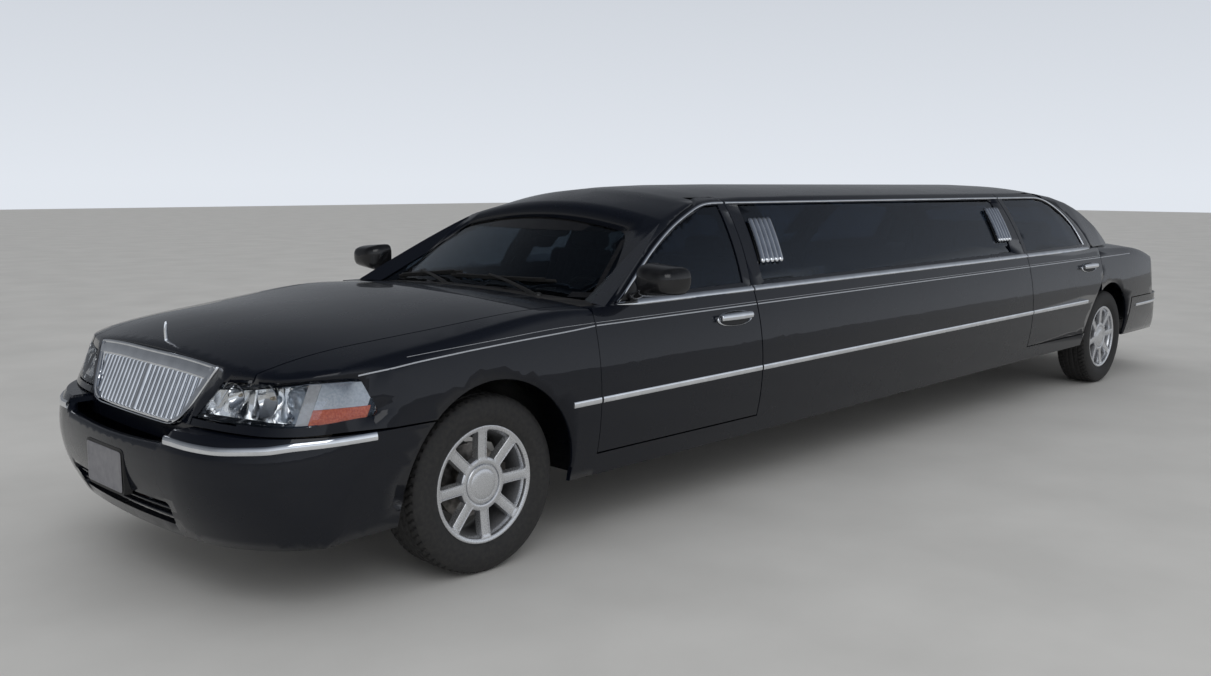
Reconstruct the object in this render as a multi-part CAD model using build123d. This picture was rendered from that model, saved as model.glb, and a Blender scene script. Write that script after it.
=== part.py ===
from build123d import *
from math import atan2, cos, degrees, hypot, radians, sin, sqrt, tan
import os

# Stretch limousine, built like the real one: a ladder frame with axles and running gear carries
# a body shell that is split where its panels meet, with hinged doors, hood and boot lid, steered
# front wheels and a furnished cabin.
# Frame: +X forward, +Y to the car's left, +Z up, origin on the ground at the middle of its length.
# All sizes are in millimetres.

# Lengths along the car
base_wheelbase = 2990
stretch_length = 3048
front_overhang = 1075
rear_overhang = 1404
wheelbase = base_wheelbase + stretch_length
front_axle_x = (wheelbase + rear_overhang - front_overhang) / 2
rear_axle_x = front_axle_x - wheelbase

# Door and panel lines, each measured from the axle that it belongs to
front_door_lead = -555
front_door_trail = -1650
front_door_trail_top = -1770
rear_door_lead = 1378
rear_door_lead_top = 1268
rear_door_trail = 168
hood_rear = -560
cowl_rear = -860
backlight_foot = -552
shut_gap = 7

# Heights, with a belt line that rises towards the rear
sill_z_front = 292
sill_z_rear = 330
door_foot_rise = 93
widest_rise = 345
belt_z_front = 992
belt_z_rear = 1034
roof_z = 1495

# Cross-section of the cabin
body_half_width = 985
sill_half_width = 932
side_radius = 1080
glass_foot_inset = 14
rail_half_width = 612
rail_drop = 62
glass_radius = 1700
crown_radius = 3000
door_thickness = 72
frame_thickness = 46
roof_thickness = 38
pillar_thickness = 118
panel_thickness = 34

# Windscreen and rear window
screen_foot_x = -600
screen_foot_z = 1000
screen_slope = 33
screen_plan_radius = 1900
backlight_foot_z = 1052
backlight_slope = 29
backlight_plan_radius = 2300
glass_thickness = 6
glass_recess = 6

# Wheels, axles and steering
tyre_radius = 351
tyre_width = 228
rim_radius = 231
bead_radius = 215
rim_width = 196
front_track = 1610
rear_track = 1660
spoke_count = 8
spoke_width = 50
hub_radius = 78
spindle_radius = 30
running_gap = 0.3
arch_radius = 418
kingpin_half_track = 690
kingpin_radius = 11
disc_radius = 148
disc_thickness = 24

# Frame and floor
rail_width = 62
rail_height = 96
frame_foot_z = 212
front_rail_y = 395
cabin_rail_y = 470
floor_z = 334
floor_thickness = 9
floor_half_width = 852
boot_floor_z = 455
rear_floor_z = 576
tunnel_half_width = 150
tunnel_top_z = 500
low_tunnel_z = 410

side_names = {1: "left", -1: "right"}
far = 1200


front_lead_x = front_axle_x + front_door_lead
front_trail_x = front_axle_x + front_door_trail
front_trail_top_x = front_axle_x + front_door_trail_top
rear_lead_x = rear_axle_x + rear_door_lead
rear_lead_top_x = rear_axle_x + rear_door_lead_top
rear_trail_x = rear_axle_x + rear_door_trail


def along(front, rear, x):
    """A height that runs straight from the front door's lead edge to the rear door's trail edge."""
    return front + (rear - front) * (front_lead_x - x) / (front_lead_x - rear_trail_x)


def sill_z(x):
    return along(sill_z_front, sill_z_rear, x)


def belt_z(x):
    return along(belt_z_front, belt_z_rear, x)


def door_foot_z(x):
    return sill_z(x) + door_foot_rise


door_top_z = roof_z - rail_drop - 3


def box(x0, x1, y0, y1, z0, z1):
    """A block between two corners."""
    return Pos((x0 + x1) / 2, (y0 + y1) / 2, (z0 + z1) / 2) * Box(abs(x1 - x0), abs(y1 - y0), abs(z1 - z0))


def mirrored(shape):
    return mirror(shape, about=Plane.XZ)


def both_sides(shape):
    """The shape and its mirror image, as separate solids of one piece."""
    return Compound([*shape.solids(), *mirrored(shape).solids()])


def on_side(shape, side):
    return shape if side == 1 else mirrored(shape)


def outline(start, *steps):
    """A closed flat face. Each step is one end point, or a middle and an end point for an arc."""
    edges = []
    here = start
    for step in steps:
        if isinstance(step[0], tuple):
            edges.append(ThreePointArc(here, step[0], step[1]))
            here = step[1]
        else:
            edges.append(Line(here, step))
            here = step
    edges.append(Line(here, start))
    return make_face(edges).face()


def push_side(face, y0, y1, slant=0):
    """A face drawn in side view as (x, z), pushed from y0 inwards to y1, drifting forward by the slant."""
    plane = Plane(origin=(0, y0, 0), x_dir=(1, 0, 0), z_dir=(0, -1, 0))
    direction = (tan(radians(slant)), -1, 0)
    length = (y0 - y1) * hypot(direction[0], 1)
    return extrude(plane * face, length, dir=direction)


def push_front(face, x0, x1):
    """A face drawn in front view as (y, z), pushed along the car from x0 to x1."""
    plane = Plane(origin=(x0, 0, 0), x_dir=(0, 1, 0), z_dir=(1, 0, 0))
    return extrude(plane * face, x1 - x0, dir=(1, 0, 0))


def push_up(face, z0, z1):
    """A face drawn in plan as (x, y), pushed up from z0 to z1."""
    return extrude(Pos(0, 0, z0) * face, z1 - z0, dir=(0, 0, 1))


def rod(start, end, radius):
    """A round bar between two points."""
    direction = Vector(*end) - Vector(*start)
    return extrude(Plane(origin=start, z_dir=direction) * Circle(radius), direction.length)


def arc_middle(centre, start, end):
    """The point halfway along the short arc about a centre."""
    radius = hypot(start[0] - centre[0], start[1] - centre[1])
    y = (start[0] + end[0]) / 2 - centre[0]
    z = (start[1] + end[1]) / 2 - centre[1]
    length = hypot(y, z)
    return (centre[0] + y * radius / length, centre[1] + z * radius / length)


def circle_through(low, high, radius):
    """Centre of the circle of this radius through two points, bulging outwards."""
    half_y = (high[0] - low[0]) / 2
    half_z = (high[1] - low[1]) / 2
    half = hypot(half_y, half_z)
    away = sqrt(radius**2 - half**2)
    return ((low[0] + high[0]) / 2 - half_z * away / half, (low[1] + high[1]) / 2 + half_y * away / half)


def corner_between(centre_a, radius_a, centre_b, radius_b, radius):
    """A round corner inside two circles: its centre and the points where it meets each of them."""
    span_y = centre_b[0] - centre_a[0]
    span_z = centre_b[1] - centre_a[1]
    span = hypot(span_y, span_z)
    reach_a = radius_a - radius
    step = (reach_a**2 - (radius_b - radius) ** 2 + span**2) / (2 * span)
    rise = sqrt(reach_a**2 - step**2)
    options = []
    for sign in (1, -1):
        y = centre_a[0] + (step * span_y - sign * rise * span_z) / span
        z = centre_a[1] + (step * span_z + sign * rise * span_y) / span
        options.append((y, z))
    centre = max(options)
    meets = []
    for c, r in ((centre_a, radius_a), (centre_b, radius_b)):
        length = hypot(centre[0] - c[0], centre[1] - c[1])
        meets.append((c[0] + (centre[0] - c[0]) * r / length, c[1] + (centre[1] - c[1]) * r / length))
    return centre, meets[0], meets[1]


def section(x, points):
    """A closed section at x, mirrored about the middle. Each point has the arc middle before it, or None."""
    half = []
    for (start, _), (end, middle) in zip(points, points[1:]):
        half.append((start, middle, end))
    edges = []
    for start, middle, end in half:
        edges.append(section_edge(x, start, middle, end, 1))
    for start, middle, end in reversed(half):
        edges.append(section_edge(x, end, middle, start, -1))
    foot = points[0][0]
    edges.append(Edge.make_line((x, -foot[0], foot[1]), (x, foot[0], foot[1])))
    return Wire(edges)


def section_edge(x, start, middle, end, side):
    first = (x, side * start[0], start[1])
    last = (x, side * end[0], end[1])
    if middle is None:
        return Edge.make_line(first, last)
    return Edge.make_three_point_arc(first, (x, side * middle[0], middle[1]), last)


def low_middle(foot, wide):
    """Middle of the arc from the sill up to the widest point, where it stands upright."""
    out = wide[0] - foot[0]
    radius = (out**2 + (wide[1] - foot[1]) ** 2) / (2 * out)
    return arc_middle((wide[0] - radius, wide[1]), foot, wide)


def side_y(x, z, inset=0):
    """Half width of the cabin's side between the widest point and the belt line."""
    radius = side_radius - inset
    return body_half_width - side_radius + sqrt(radius**2 - (z - sill_z(x) - widest_rise) ** 2)


def lower_wire(x, inset=0, rise=0, foot_drop=0):
    """The body side up to the belt line, closed straight across."""
    wide = (body_half_width - inset, sill_z(x) + widest_rise)
    foot = (sill_half_width - inset, sill_z(x) - foot_drop)
    belt = (side_y(x, belt_z(x), inset), belt_z(x))
    centre = (body_half_width - side_radius, wide[1])
    points = [
        (foot, None),
        (wide, low_middle(foot, wide)),
        (belt, arc_middle(centre, wide, belt)),
    ]
    if rise:
        points.append(((belt[0], belt[1] + rise), None))
    points.append(((0, belt[1] + rise), None))
    return section(x, points)


def glass_foot_y(x):
    return side_y(x, belt_z(x)) - glass_foot_inset


def glass_centre(x, pull=0):
    """Centre of the arc that the side glass leans in along, pulled in at the car's rear."""
    foot = (glass_foot_y(x) - pull, belt_z(x))
    rail = (rail_half_width - 0.45 * pull, roof_z - rail_drop)
    return circle_through(foot, rail, glass_radius)


def upper_wire(x, top, pull, corner, side_inset=0, top_inset=0, drop=0):
    """The greenhouse above the belt line: side glass, rounded rail and crowned roof."""
    centre = glass_centre(x, pull)
    radius = glass_radius - side_inset
    crown_centre = (0, top - crown_radius)
    inner_crown = crown_radius - top_inset
    corner_centre, low, high = corner_between(centre, radius, crown_centre, inner_crown, corner)
    foot = (centre[0] + sqrt(radius**2 - (belt_z(x) - centre[1]) ** 2), belt_z(x))
    crown = (0, top - top_inset)
    points = []
    if drop:
        points.append(((foot[0], foot[1] - drop), None))
    points += [
        (foot, None),
        (low, arc_middle(centre, foot, low)),
        (high, arc_middle(corner_centre, low, high)),
        (crown, arc_middle(crown_centre, high, crown)),
    ]
    return section(x, points)


# Roof line. Columns: distance from the front axle, roof height, side pulled in by, corner radius
front_roof = [
    (-560, 1250, 0, 85),
    (-1000, 1335, 0, 85),
    (-1250, 1414, 0, 90),
    (-1500, 1468, 0, 95),
    (-1700, 1483, 0, 95),
    (-1950, 1491, 0, 95),
    (-2400, 1495, 0, 95),
]
# Columns: distance from the rear axle, then as above
rear_roof = [
    (900, 1495, 0, 95),
    (560, 1487, 4, 100),
    (350, 1467, 14, 110),
    (150, 1432, 36, 125),
    (-200, 1345, 100, 150),
    (-640, 1290, 215, 150),
]


def roof_loft(stations, beside_x, side_inset=0, top_inset=0, drop=0):
    wires = [upper_wire(beside_x + ahead, top, pull, corner, side_inset, top_inset, drop)
             for ahead, top, pull, corner in stations]
    return Solid.make_loft(wires, ruled=True)


def roof_solids(side_inset=0, top_inset=0, drop=0):
    """The greenhouse as three lofts: sloping front, straight middle and falling rear."""
    front = roof_loft(front_roof, front_axle_x, side_inset, top_inset, drop)
    middle_ends = [(front_axle_x + front_roof[-1][0], *front_roof[-1][1:]),
                   (rear_axle_x + rear_roof[0][0], *rear_roof[0][1:])]
    middle = roof_loft(middle_ends, 0, side_inset, top_inset, drop)
    rear = roof_loft(rear_roof, rear_axle_x, side_inset, top_inset, drop)
    return front, middle, rear


def lower_loft(inset=0, rise=0, foot_drop=0):
    ends = (front_lead_x + 60, rear_trail_x + 460, rear_trail_x - 240)
    return Solid.make_loft([lower_wire(ends[0], inset, rise, foot_drop),
                            lower_wire(ends[2], inset, rise, foot_drop)], ruled=True)


def clip_wire(x, width, top, crown_r, shoulder_r, foot, foot_y, wide_z, inset=0, foot_drop=0):
    """Front or tail section: side, rounded shoulder and crowned hood or boot."""
    wide = (width - inset, wide_z)
    sill = (foot_y - inset, foot - foot_drop)
    side_centre = (width - side_radius, wide_z)
    crown_centre = (0, top - crown_r)
    shoulder, low, high = corner_between(side_centre, side_radius - inset, crown_centre, crown_r - inset, shoulder_r)
    crown = (0, top - inset)
    return section(x, [
        (sill, None),
        (wide, low_middle(sill, wide)),
        (low, arc_middle(side_centre, wide, low)),
        (high, arc_middle(shoulder, low, high)),
        (crown, arc_middle(crown_centre, high, crown)),
    ])


# Front sections. Columns: distance from the front axle, half width, top, crown radius,
# shoulder radius, foot height, foot half width
front_wide_z = sill_z_front + widest_rise
front_sections = [
    (-880, 985, 1034, 11000, 40, 289, 932),
    (-500, 985, 1030, 10500, 42, 292, 932),
    (0, 984, 1014, 7500, 62, 290, 930),
    (400, 980, 982, 5600, 80, 280, 918),
    (720, 972, 930, 5000, 90, 262, 902),
    (980, 960, 838, 4600, 80, 250, 885),
    (1130, 944, 775, 4500, 80, 246, 868),
]
# Tail sections. Columns: distance from the rear axle, then as above
tail_wide_z = sill_z_rear + widest_rise
tail_sections = [
    (460, 985, 1070, 10500, 45, 328, 932),
    (100, 984, 1072, 9500, 55, 331, 931),
    (-500, 976, 1068, 6500, 90, 326, 920),
    (-900, 958, 1036, 5200, 110, 318, 895),
    (-1180, 936, 962, 4600, 110, 312, 868),
    (-1440, 905, 872, 4300, 70, 312, 840),
]


def front_clip(inset=0, foot_drop=0):
    return Solid.make_loft([clip_wire(front_axle_x + row[0], *row[1:], front_wide_z, inset, foot_drop)
                            for row in front_sections])


def tail_clip(inset=0, foot_drop=0):
    return Solid.make_loft([clip_wire(rear_axle_x + row[0], *row[1:], tail_wide_z, inset, foot_drop)
                            for row in tail_sections])


# Plan curves of the ends, from the middle to the side. Columns: distance from the axle, half width
upper_nose = [(962, 0), (948, 440), (880, 760), (700, 915), (430, 990)]
bumper_nose = [(1075, 0), (1048, 460), (905, 800), (690, 945), (430, 992)]
upper_tail = [(-1372, 0), (-1352, 460), (-1270, 740), (-1120, 880), (-900, 975)]
bumper_tail = [(-1404, 0), (-1380, 470), (-1290, 780), (-1140, 908), (-880, 980)]
bumper_levels = [(180, 118), (300, 62), (420, 14), (530, 0), (610, 12), (680, 70)]
nose_lean = 24
nose_lean_z = 655
tail_lean = 13
tail_lean_z = 600


def plan_arcs(points, beside_x):
    """Arcs through the plan points, each leaving in the direction in which the last one ended."""
    edges = []
    direction = Vector(0, 1)
    spots = [Vector(beside_x + x, y) for x, y in points]
    for start, end in zip(spots, spots[1:]):
        edge = TangentArc(start, end, tangent=direction)
        direction = edge % 1
        edges.append(edge)
    return edges


def end_block(points, beside_x, inset=0, lean=0, lean_z=0, top=1300):
    """All that lies behind a curved end of the car, upright to a height and leaning back above it."""
    sign = 1 if points[0][0] > 0 else -1
    moved = [(x - sign * inset, y) for x, y in points]
    edges = plan_arcs(moved, beside_x)
    side = edges[-1] @ 1
    back = Vector(side.X - sign * far, side.Y + 60)
    edges.append(Line(side, back))
    edges.append(Line(back, Vector(back.X, 0)))
    edges.append(Line(Vector(back.X, 0), edges[0] @ 0))
    face = make_face(edges).face()
    if not lean:
        half = push_up(face, 0, top)
        return half + mirrored(half)
    low = push_up(face, 0, lean_z)
    slope = tan(radians(lean))
    high = extrude(Pos(0, 0, lean_z) * face, (top - lean_z) * hypot(slope, 1), dir=(-sign * slope, 0, 1))
    half = low + high
    return half + mirrored(half)


def rounded_block(points, beside_x, levels, inset=0):
    """All that lies behind a curved end whose side view is rounded: one plan per height, joined smoothly."""
    sign = 1 if points[0][0] > 0 else -1
    faces = []
    for z, back_by in levels:
        edges = plan_arcs([(x - sign * (inset + back_by), y) for x, y in points], beside_x)
        side = edges[-1] @ 1
        back = Vector(beside_x + sign * 100, side.Y + 60)
        edges.append(Line(side, back))
        edges.append(Line(back, Vector(back.X, 0)))
        edges.append(Line(Vector(back.X, 0), edges[0] @ 0))
        faces.append(Pos(0, 0, z) * make_face(edges).face())
    half = loft(faces)
    return half + mirrored(half)


def slanted_screen(foot_x, foot_z, slope, plan_radius, rearward, offset=0):
    """All that lies behind (or before) a curved, leaning window, moved in along its normal by the offset."""
    sign = -1 if rearward else 1
    shift = sign * offset / sin(radians(slope))
    edge_y = 700
    edge_x = edge_y**2 / (2 * plan_radius)
    side_y = 960
    flare = 90 if sign == 1 else 0
    start = (foot_x - shift - sign * edge_x, -edge_y)
    end = (foot_x - shift - sign * edge_x, edge_y)
    corner = foot_x - shift - sign * (edge_x - flare)
    if not flare:
        corner = foot_x - shift - sign * side_y**2 / (2 * plan_radius)
    back = foot_x - sign * 2 * far
    face = outline(start, ((foot_x - shift, 0), end), (corner, side_y), (back, side_y),
                   (back, -side_y), (corner, -side_y))
    run = 1 / tan(radians(slope))
    low = 250
    face = Pos(sign * low * run, 0, foot_z - low) * face
    return extrude(face, 900 * hypot(run, 1), dir=(-sign * run, 0, 1))


# Door plugs: what a door takes out of the body. The leading edge is cut straight across the car, and
# the trailing edge drifts forward on its way in, because the leaning window frame swings rearwards.
hinge_inset = 8
hinge_behind = 28
lower_taper = 6
plug_depth_y = rail_half_width - 60
plug_start_y = body_half_width + 5


def skin_y(x, z):
    """Half width of the outer skin at a height, above or below the belt line."""
    if z <= belt_z(x):
        return side_y(x, z)
    centre = glass_centre(x)
    return centre[0] + sqrt(glass_radius**2 - (z - centre[1]) ** 2)


def taper_for(hinge_x, trail_x):
    """The slant that lets the top of a trailing edge swing clear."""
    return degrees(atan2(body_half_width - rail_half_width, hinge_x - trail_x)) + 3


def at_start(x, z, slant):
    """Where an edge that shows at (x, z) on the skin lies in the plug's starting plane."""
    return (x - tan(radians(slant)) * (plug_start_y - skin_y(x, z)), z)


def front_door_plug(grow=0):
    lead = front_lead_x + grow
    trail = front_trail_x - grow
    top_trail = front_trail_top_x - grow
    foot = door_foot_z(front_trail_x) - grow
    top = door_top_z + grow
    belt = belt_z(trail)
    back = trail - far
    slant = taper_for(front_lead_x - hinge_behind, top_trail)
    ahead = lead + far
    lower = push_side(outline((lead, foot), (lead, belt_z(lead)), (back, belt_z(back)), (back, foot)),
                      plug_start_y, plug_depth_y)
    lower_limit = push_side(outline((trail, 0), (trail, belt + 40), (ahead, belt + 40), (ahead, 0)),
                            plug_start_y, plug_depth_y, lower_taper)
    base_x = front_axle_x
    upper = push_side(outline((base_x - 718 + grow, belt_z(lead) - 1),
                              ((base_x - 1128 + 0.6 * grow, 1243 + 0.8 * grow),
                               (base_x - 1535 + 0.3 * grow, 1394 + grow)),
                              (base_x - 1640, top), (back, top), (back, belt_z(back))),
                      plug_start_y, plug_depth_y)
    upper_limit = push_side(outline(at_start(trail, belt, slant), at_start(top_trail, top, slant),
                                    (ahead, top + 100), (ahead, belt - 100), (trail, belt - 100)),
                            plug_start_y, plug_depth_y, slant)
    return lower & lower_limit, upper & upper_limit


def rear_door_plug(grow=0):
    lead = rear_lead_x + grow
    lead_top = rear_lead_top_x + grow
    foot = door_foot_z(rear_trail_x + 400) - grow
    top = door_top_z + grow
    trail = rear_trail_x - grow
    back = trail - far
    hinge = rear_lead_x - hinge_behind
    ahead = lead + far
    slant = taper_for(hinge, rear_trail_x + 410)
    lip = arch_radius + 30 - grow
    lip_top_angle = radians(48)
    lip_foot = sqrt(lip**2 - (foot - tyre_radius) ** 2)
    foot_angle = atan2(foot - tyre_radius, lip_foot)
    middle_angle = (lip_top_angle + foot_angle) / 2
    lip_points = [(rear_axle_x + lip * cos(a), tyre_radius + lip * sin(a))
                  for a in (foot_angle, middle_angle, lip_top_angle)]
    lower = push_side(outline((lead, foot), (lead, belt_z(lead)), (back, belt_z(back)), (back, foot)),
                      plug_start_y, plug_depth_y)
    lower_limit = push_side(outline((ahead, 0), (lip_points[0][0], 0), lip_points[0],
                                    (lip_points[1], lip_points[2]), (trail - 5, 820), (trail, 1200), (ahead, 1200)),
                            plug_start_y, plug_depth_y, lower_taper)
    upper = push_side(outline((lead, belt_z(lead) - 1), (lead_top, top), (back, top), (back, belt_z(back) - 1)),
                      plug_start_y, plug_depth_y)
    shut = [(trail + 6, 1000), (trail + 105, 1235), (trail + 420, 1400), (trail + 470, top)]
    starts = [at_start(x, z, slant) for x, z in shut]
    upper_limit = push_side(outline((ahead, 900), (starts[0][0], 900), starts[0], (starts[1], starts[2]),
                                    starts[3], (starts[3][0] + 20, top + 60), (ahead, top + 60)),
                            plug_start_y, plug_depth_y, slant)
    return lower & lower_limit, upper & upper_limit


def window_cut(points, radius):
    """A side window's opening: its outline in side view, with rounded corners."""
    face = fillet(make_face(Polyline(*points, close=True)).vertices(), radius)
    return push_side(face, plug_start_y, plug_depth_y - 200)


# Window openings, drawn on the skin. Columns: distance from the axle, height above the belt or below the roof
sill_of_glass = 30
head_of_glass = 100


def front_window():
    base = front_axle_x
    low_lead = belt_z(front_lead_x) + sill_of_glass
    low_trail = belt_z(front_trail_x) + sill_of_glass
    head = roof_z - head_of_glass
    face = outline((front_trail_x + 48, low_trail), (base - 785, low_lead),
                   ((base - 1135, 1225), (base - 1500, 1362)), (base - 1600, head - 4),
                   (front_trail_top_x + 62, head))
    return push_side(fillet(face.vertices().sort_by(Axis.X)[-1:], 22), plug_start_y, plug_depth_y - 200)


def stretch_window():
    low_front = belt_z(front_trail_x) + sill_of_glass
    low_rear = belt_z(rear_lead_x) + sill_of_glass
    head = roof_z - head_of_glass
    points = [(front_trail_x - 105, low_front), (front_trail_top_x - 92, head),
              (rear_lead_top_x + 130, head), (rear_lead_x + 175, low_rear)]
    return window_cut(points, 16)


def rear_window_side():
    base = rear_axle_x
    head = roof_z - head_of_glass
    face = outline((rear_lead_x - 50, belt_z(rear_lead_x) + sill_of_glass), (rear_lead_top_x - 52, head),
                   (base + 700, head), ((base + 492, 1342), (base + 368, 1222)),
                   (base + 352, belt_z(rear_trail_x) + sill_of_glass))
    return push_side(face, plug_start_y, plug_depth_y - 200)


def arch_cut(beside_x, inner_y, radius=arch_radius):
    """The wheel arch: a round opening through the side, open at the foot."""
    hole = outline((radius, -400), ((radius, 0)), ((0, radius), (-radius, 0)), (-radius, -400))
    return push_side(Pos(beside_x, tyre_radius) * hole, plug_start_y + 20, inner_y)


# Body shells. Each is what lies between an outer and an inner form.
cabin_low_outer = lower_loft()
cabin_low_inner = lower_loft(door_thickness, 60, 60)
cabin_low = cabin_low_outer - cabin_low_inner
roof_front_outer, roof_middle_outer, roof_rear_outer = roof_solids()
roof_front_inner, roof_middle_inner, roof_rear_inner = roof_solids(frame_thickness, roof_thickness, 40)
pillar_inner = roof_loft(front_roof, front_axle_x, pillar_thickness, roof_thickness, 40)
front_outer = front_clip()
front_inner = front_clip(panel_thickness, 60)
tail_outer = tail_clip()
tail_inner = tail_clip(panel_thickness, 60)
screen_front = slanted_screen(front_axle_x + screen_foot_x, screen_foot_z, screen_slope, screen_plan_radius, False)
screen_rear = slanted_screen(rear_axle_x + backlight_foot, backlight_foot_z, backlight_slope,
                             backlight_plan_radius, True)

front_plugs = front_door_plug()
front_holes = front_door_plug(shut_gap)
rear_plugs = rear_door_plug()
rear_holes = rear_door_plug(shut_gap)
above_doors = box(rear_axle_x - 900, front_axle_x, -far, far, door_top_z, 1700)
beside_front_window = front_window()
beside_stretch = stretch_window()
beside_rear_window = rear_window_side()


def cut_both(shape, *tools):
    """Cuts the tools and their mirror images from the shape."""
    for tool in tools:
        shape = shape - tool - mirrored(tool)
    return shape


def left_half(shape):
    return shape & box(-6000, 6000, 0, far, -100, 1800)


def make_roof():
    """Roof panel with its header, windscreen pillars and wide rear pillars, in one piece."""
    front = (roof_front_outer - pillar_inner) & screen_front
    rebate = front_holes[1] - roof_loft(front_roof, front_axle_x, frame_thickness + shut_gap, roof_thickness, 60)
    front = cut_both(front, rebate)
    front = cut_both(front, beside_front_window)
    below_rail = box(front_axle_x - 3000, front_trail_x + 62, -far, far, 0, door_top_z)
    front = front - below_rail
    middle = (roof_middle_outer - roof_middle_inner) & above_doors
    rear = (roof_rear_outer - roof_rear_inner) & screen_rear
    rear = cut_both(rear, rear_holes[1])
    ahead_of_door = box(rear_trail_x + 380, rear_axle_x + 1000, -far, far, 0, door_top_z)
    rear = rear - ahead_of_door
    roof = front + middle + rear
    return roof - front_outer - tail_outer


def make_side_frames():
    """Sill, door pillars and the long panel between the doors, with its window, on each side."""
    sill_top = outline((front_lead_x + 60, 0), (rear_axle_x, 0), (rear_axle_x, door_foot_z(rear_axle_x)),
                       (front_lead_x + 60, door_foot_z(front_lead_x + 60)))
    sill = cabin_low & push_side(sill_top, plug_start_y, 400)
    between = box(rear_lead_x - 100, front_trail_x + 100, 0, far, 0, 1600)
    lower = cabin_low & between
    upper = ((roof_middle_outer - roof_middle_inner) + (roof_front_outer - roof_front_inner)
             + (roof_rear_outer - roof_rear_inner)) & between
    upper = upper - above_doors - box(-6000, 6000, -far, plug_depth_y, 0, 1800)
    upper = upper & box(rear_lead_top_x - 30, front_trail_x + 30, 0, far, 0, 1600)
    frame = lower + upper + sill
    for tool in (*front_holes, *rear_holes, beside_stretch):
        frame = frame - tool
    frame = frame - arch_cut(front_axle_x, 600, arch_radius) - arch_cut(rear_axle_x, 600, arch_radius)
    ends = box(rear_axle_x + 380, front_lead_x + shut_gap / 2, 0, far, 0, 1600)
    return both_sides(left_half(frame) & ends)


def door_shell(plugs):
    """The two thicknesses of body that a door takes: lower panel and window frame."""
    upper_shell = ((roof_middle_outer - roof_middle_inner) + (roof_front_outer - roof_front_inner)
                   + (roof_rear_outer - roof_rear_inner))
    return (cabin_low & plugs[0]) + (upper_shell & plugs[1])


# Door handles: a bar that stands off the skin on two feet
handle_length = 190
handle_standoff = 26
front_handle = (front_axle_x - 1450, 884)
rear_handle = (rear_axle_x + 430, 908)


def door_handle(place):
    x, z = place
    y = side_y(x, z)
    half = handle_length / 2
    bar = Pos(x, y + handle_standoff, z) * Rot(0, 90, 0) * Cylinder(9, handle_length)
    feet = [box(x + sign * half - 12, x + sign * half + 12, y - 20, y + handle_standoff, z - 9, z + 9)
            for sign in (-1, 1)]
    return bar + feet[0] + feet[1]


def make_front_door():
    return door_shell(front_plugs) - beside_front_window + door_handle(front_handle)


def make_rear_door():
    return door_shell(rear_plugs) - beside_rear_window + door_handle(rear_handle)


def glass_pane(window):
    """Side glass that fills an opening: a thin layer of the greenhouse, a little below the skin."""
    deep = glass_recess + glass_thickness
    pane = None
    for outer, inner in zip(roof_solids(glass_recess, glass_recess, 40), roof_solids(deep, deep, 60)):
        filled = outer & window
        if filled is None:
            continue
        bit = filled - inner
        pane = bit if pane is None else pane + bit
    return left_half(pane)


# Hood shut line in plan. Columns: distance from the front axle, half width
hood_side = [(hood_rear, 822), (-300, 822), (400, 745), (905, 668)]
lamp_gap = 5


def hood_region(grow=0):
    """Plan outline of the hood between its shut lines, pushed straight up."""
    right = [(front_axle_x + x - (grow if x == hood_rear else 0), y + grow) for x, y in hood_side]
    nose = front_axle_x + 1100
    points = [*right, (nose, right[-1][1]), (nose, -right[-1][1]), *[(x, -y) for x, y in reversed(right)]]
    return push_up(make_face(Polyline(*points, close=True)).face(), 300, 1200)


lamp_foot_z = 689
nose_foot_z = 660


def lamp_region(grow=0):
    """The space of a headlamp on the left: a band round the corner with a slanting inner end."""
    base = front_axle_x
    side = outline((base + 505 - grow, 708 - grow), (base + 562 - grow, 831 + grow),
                   ((base + 745, 836 + grow), (base + 880, 804 + grow)), (base + 1100, 740 + grow),
                   (base + 1100, lamp_foot_z - grow), (base + 760, lamp_foot_z - grow))
    side = fillet(side.vertices().sort_by(Axis.X)[:2], 22 + grow)
    band = push_side(side, plug_start_y + 20, 400)
    front = outline((432 - grow, 640), (585 - grow, 870), (1100, 870), (1100, 640))
    return band & push_front(front, base + 300, base + 1100)


def under_lamp(grow=0):
    """The space below a left headlamp: its strip of panel belongs to the fender, not to the hood."""
    return box(front_axle_x + 500, front_axle_x + 1100, 442 - grow, far, 0, lamp_foot_z - shut_gap + grow)


nose_outer = front_outer & end_block(upper_nose, front_axle_x, 0, nose_lean, nose_lean_z)
nose_inner = front_inner & end_block(upper_nose, front_axle_x, panel_thickness, nose_lean, nose_lean_z)
nose_shell = nose_outer - nose_inner
above_bumper = box(-6000, 6000, -far, far, nose_foot_z, 1300)
bumper_rear_edge = front_axle_x + 180


# Grille: a thick frame round upright bars, with one wider bar in the middle
grille_half_width = 498
grille_foot_half_width = 378
grille_top_z = 862
grille_foot_z = 651
grille_foot_radius = 70
bumper_dip = 50
grille_top_radius = 18
grille_frame_width = 44
grille_proud = 14
grille_depth = 46
bar_count = 10
bar_width = 15
middle_bar_width = 38


def grille_opening(grow=0):
    """Front view of the grille: nearly flat along its top, narrowing down to a rounded foot."""
    top = grille_half_width + grow
    foot = grille_foot_half_width + grow
    high = grille_top_z + grow
    low = grille_foot_z - grow
    face = outline((-foot, low), ((0, low - 13), (foot, low)), (top, high), ((0, high + 12), (-top, high)))
    face = fillet(face.vertices().sort_by(Axis.Y)[:2], grille_foot_radius)
    return fillet(face.vertices().sort_by(Axis.Y)[-2:], grille_top_radius)


def nose_layer(out, depth):
    """A layer of the nose from so far outside its skin to so deep inside it."""
    skin = end_block(upper_nose, front_axle_x, -out, nose_lean, nose_lean_z)
    core = end_block(upper_nose, front_axle_x, depth, nose_lean, nose_lean_z)
    return skin - core


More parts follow.
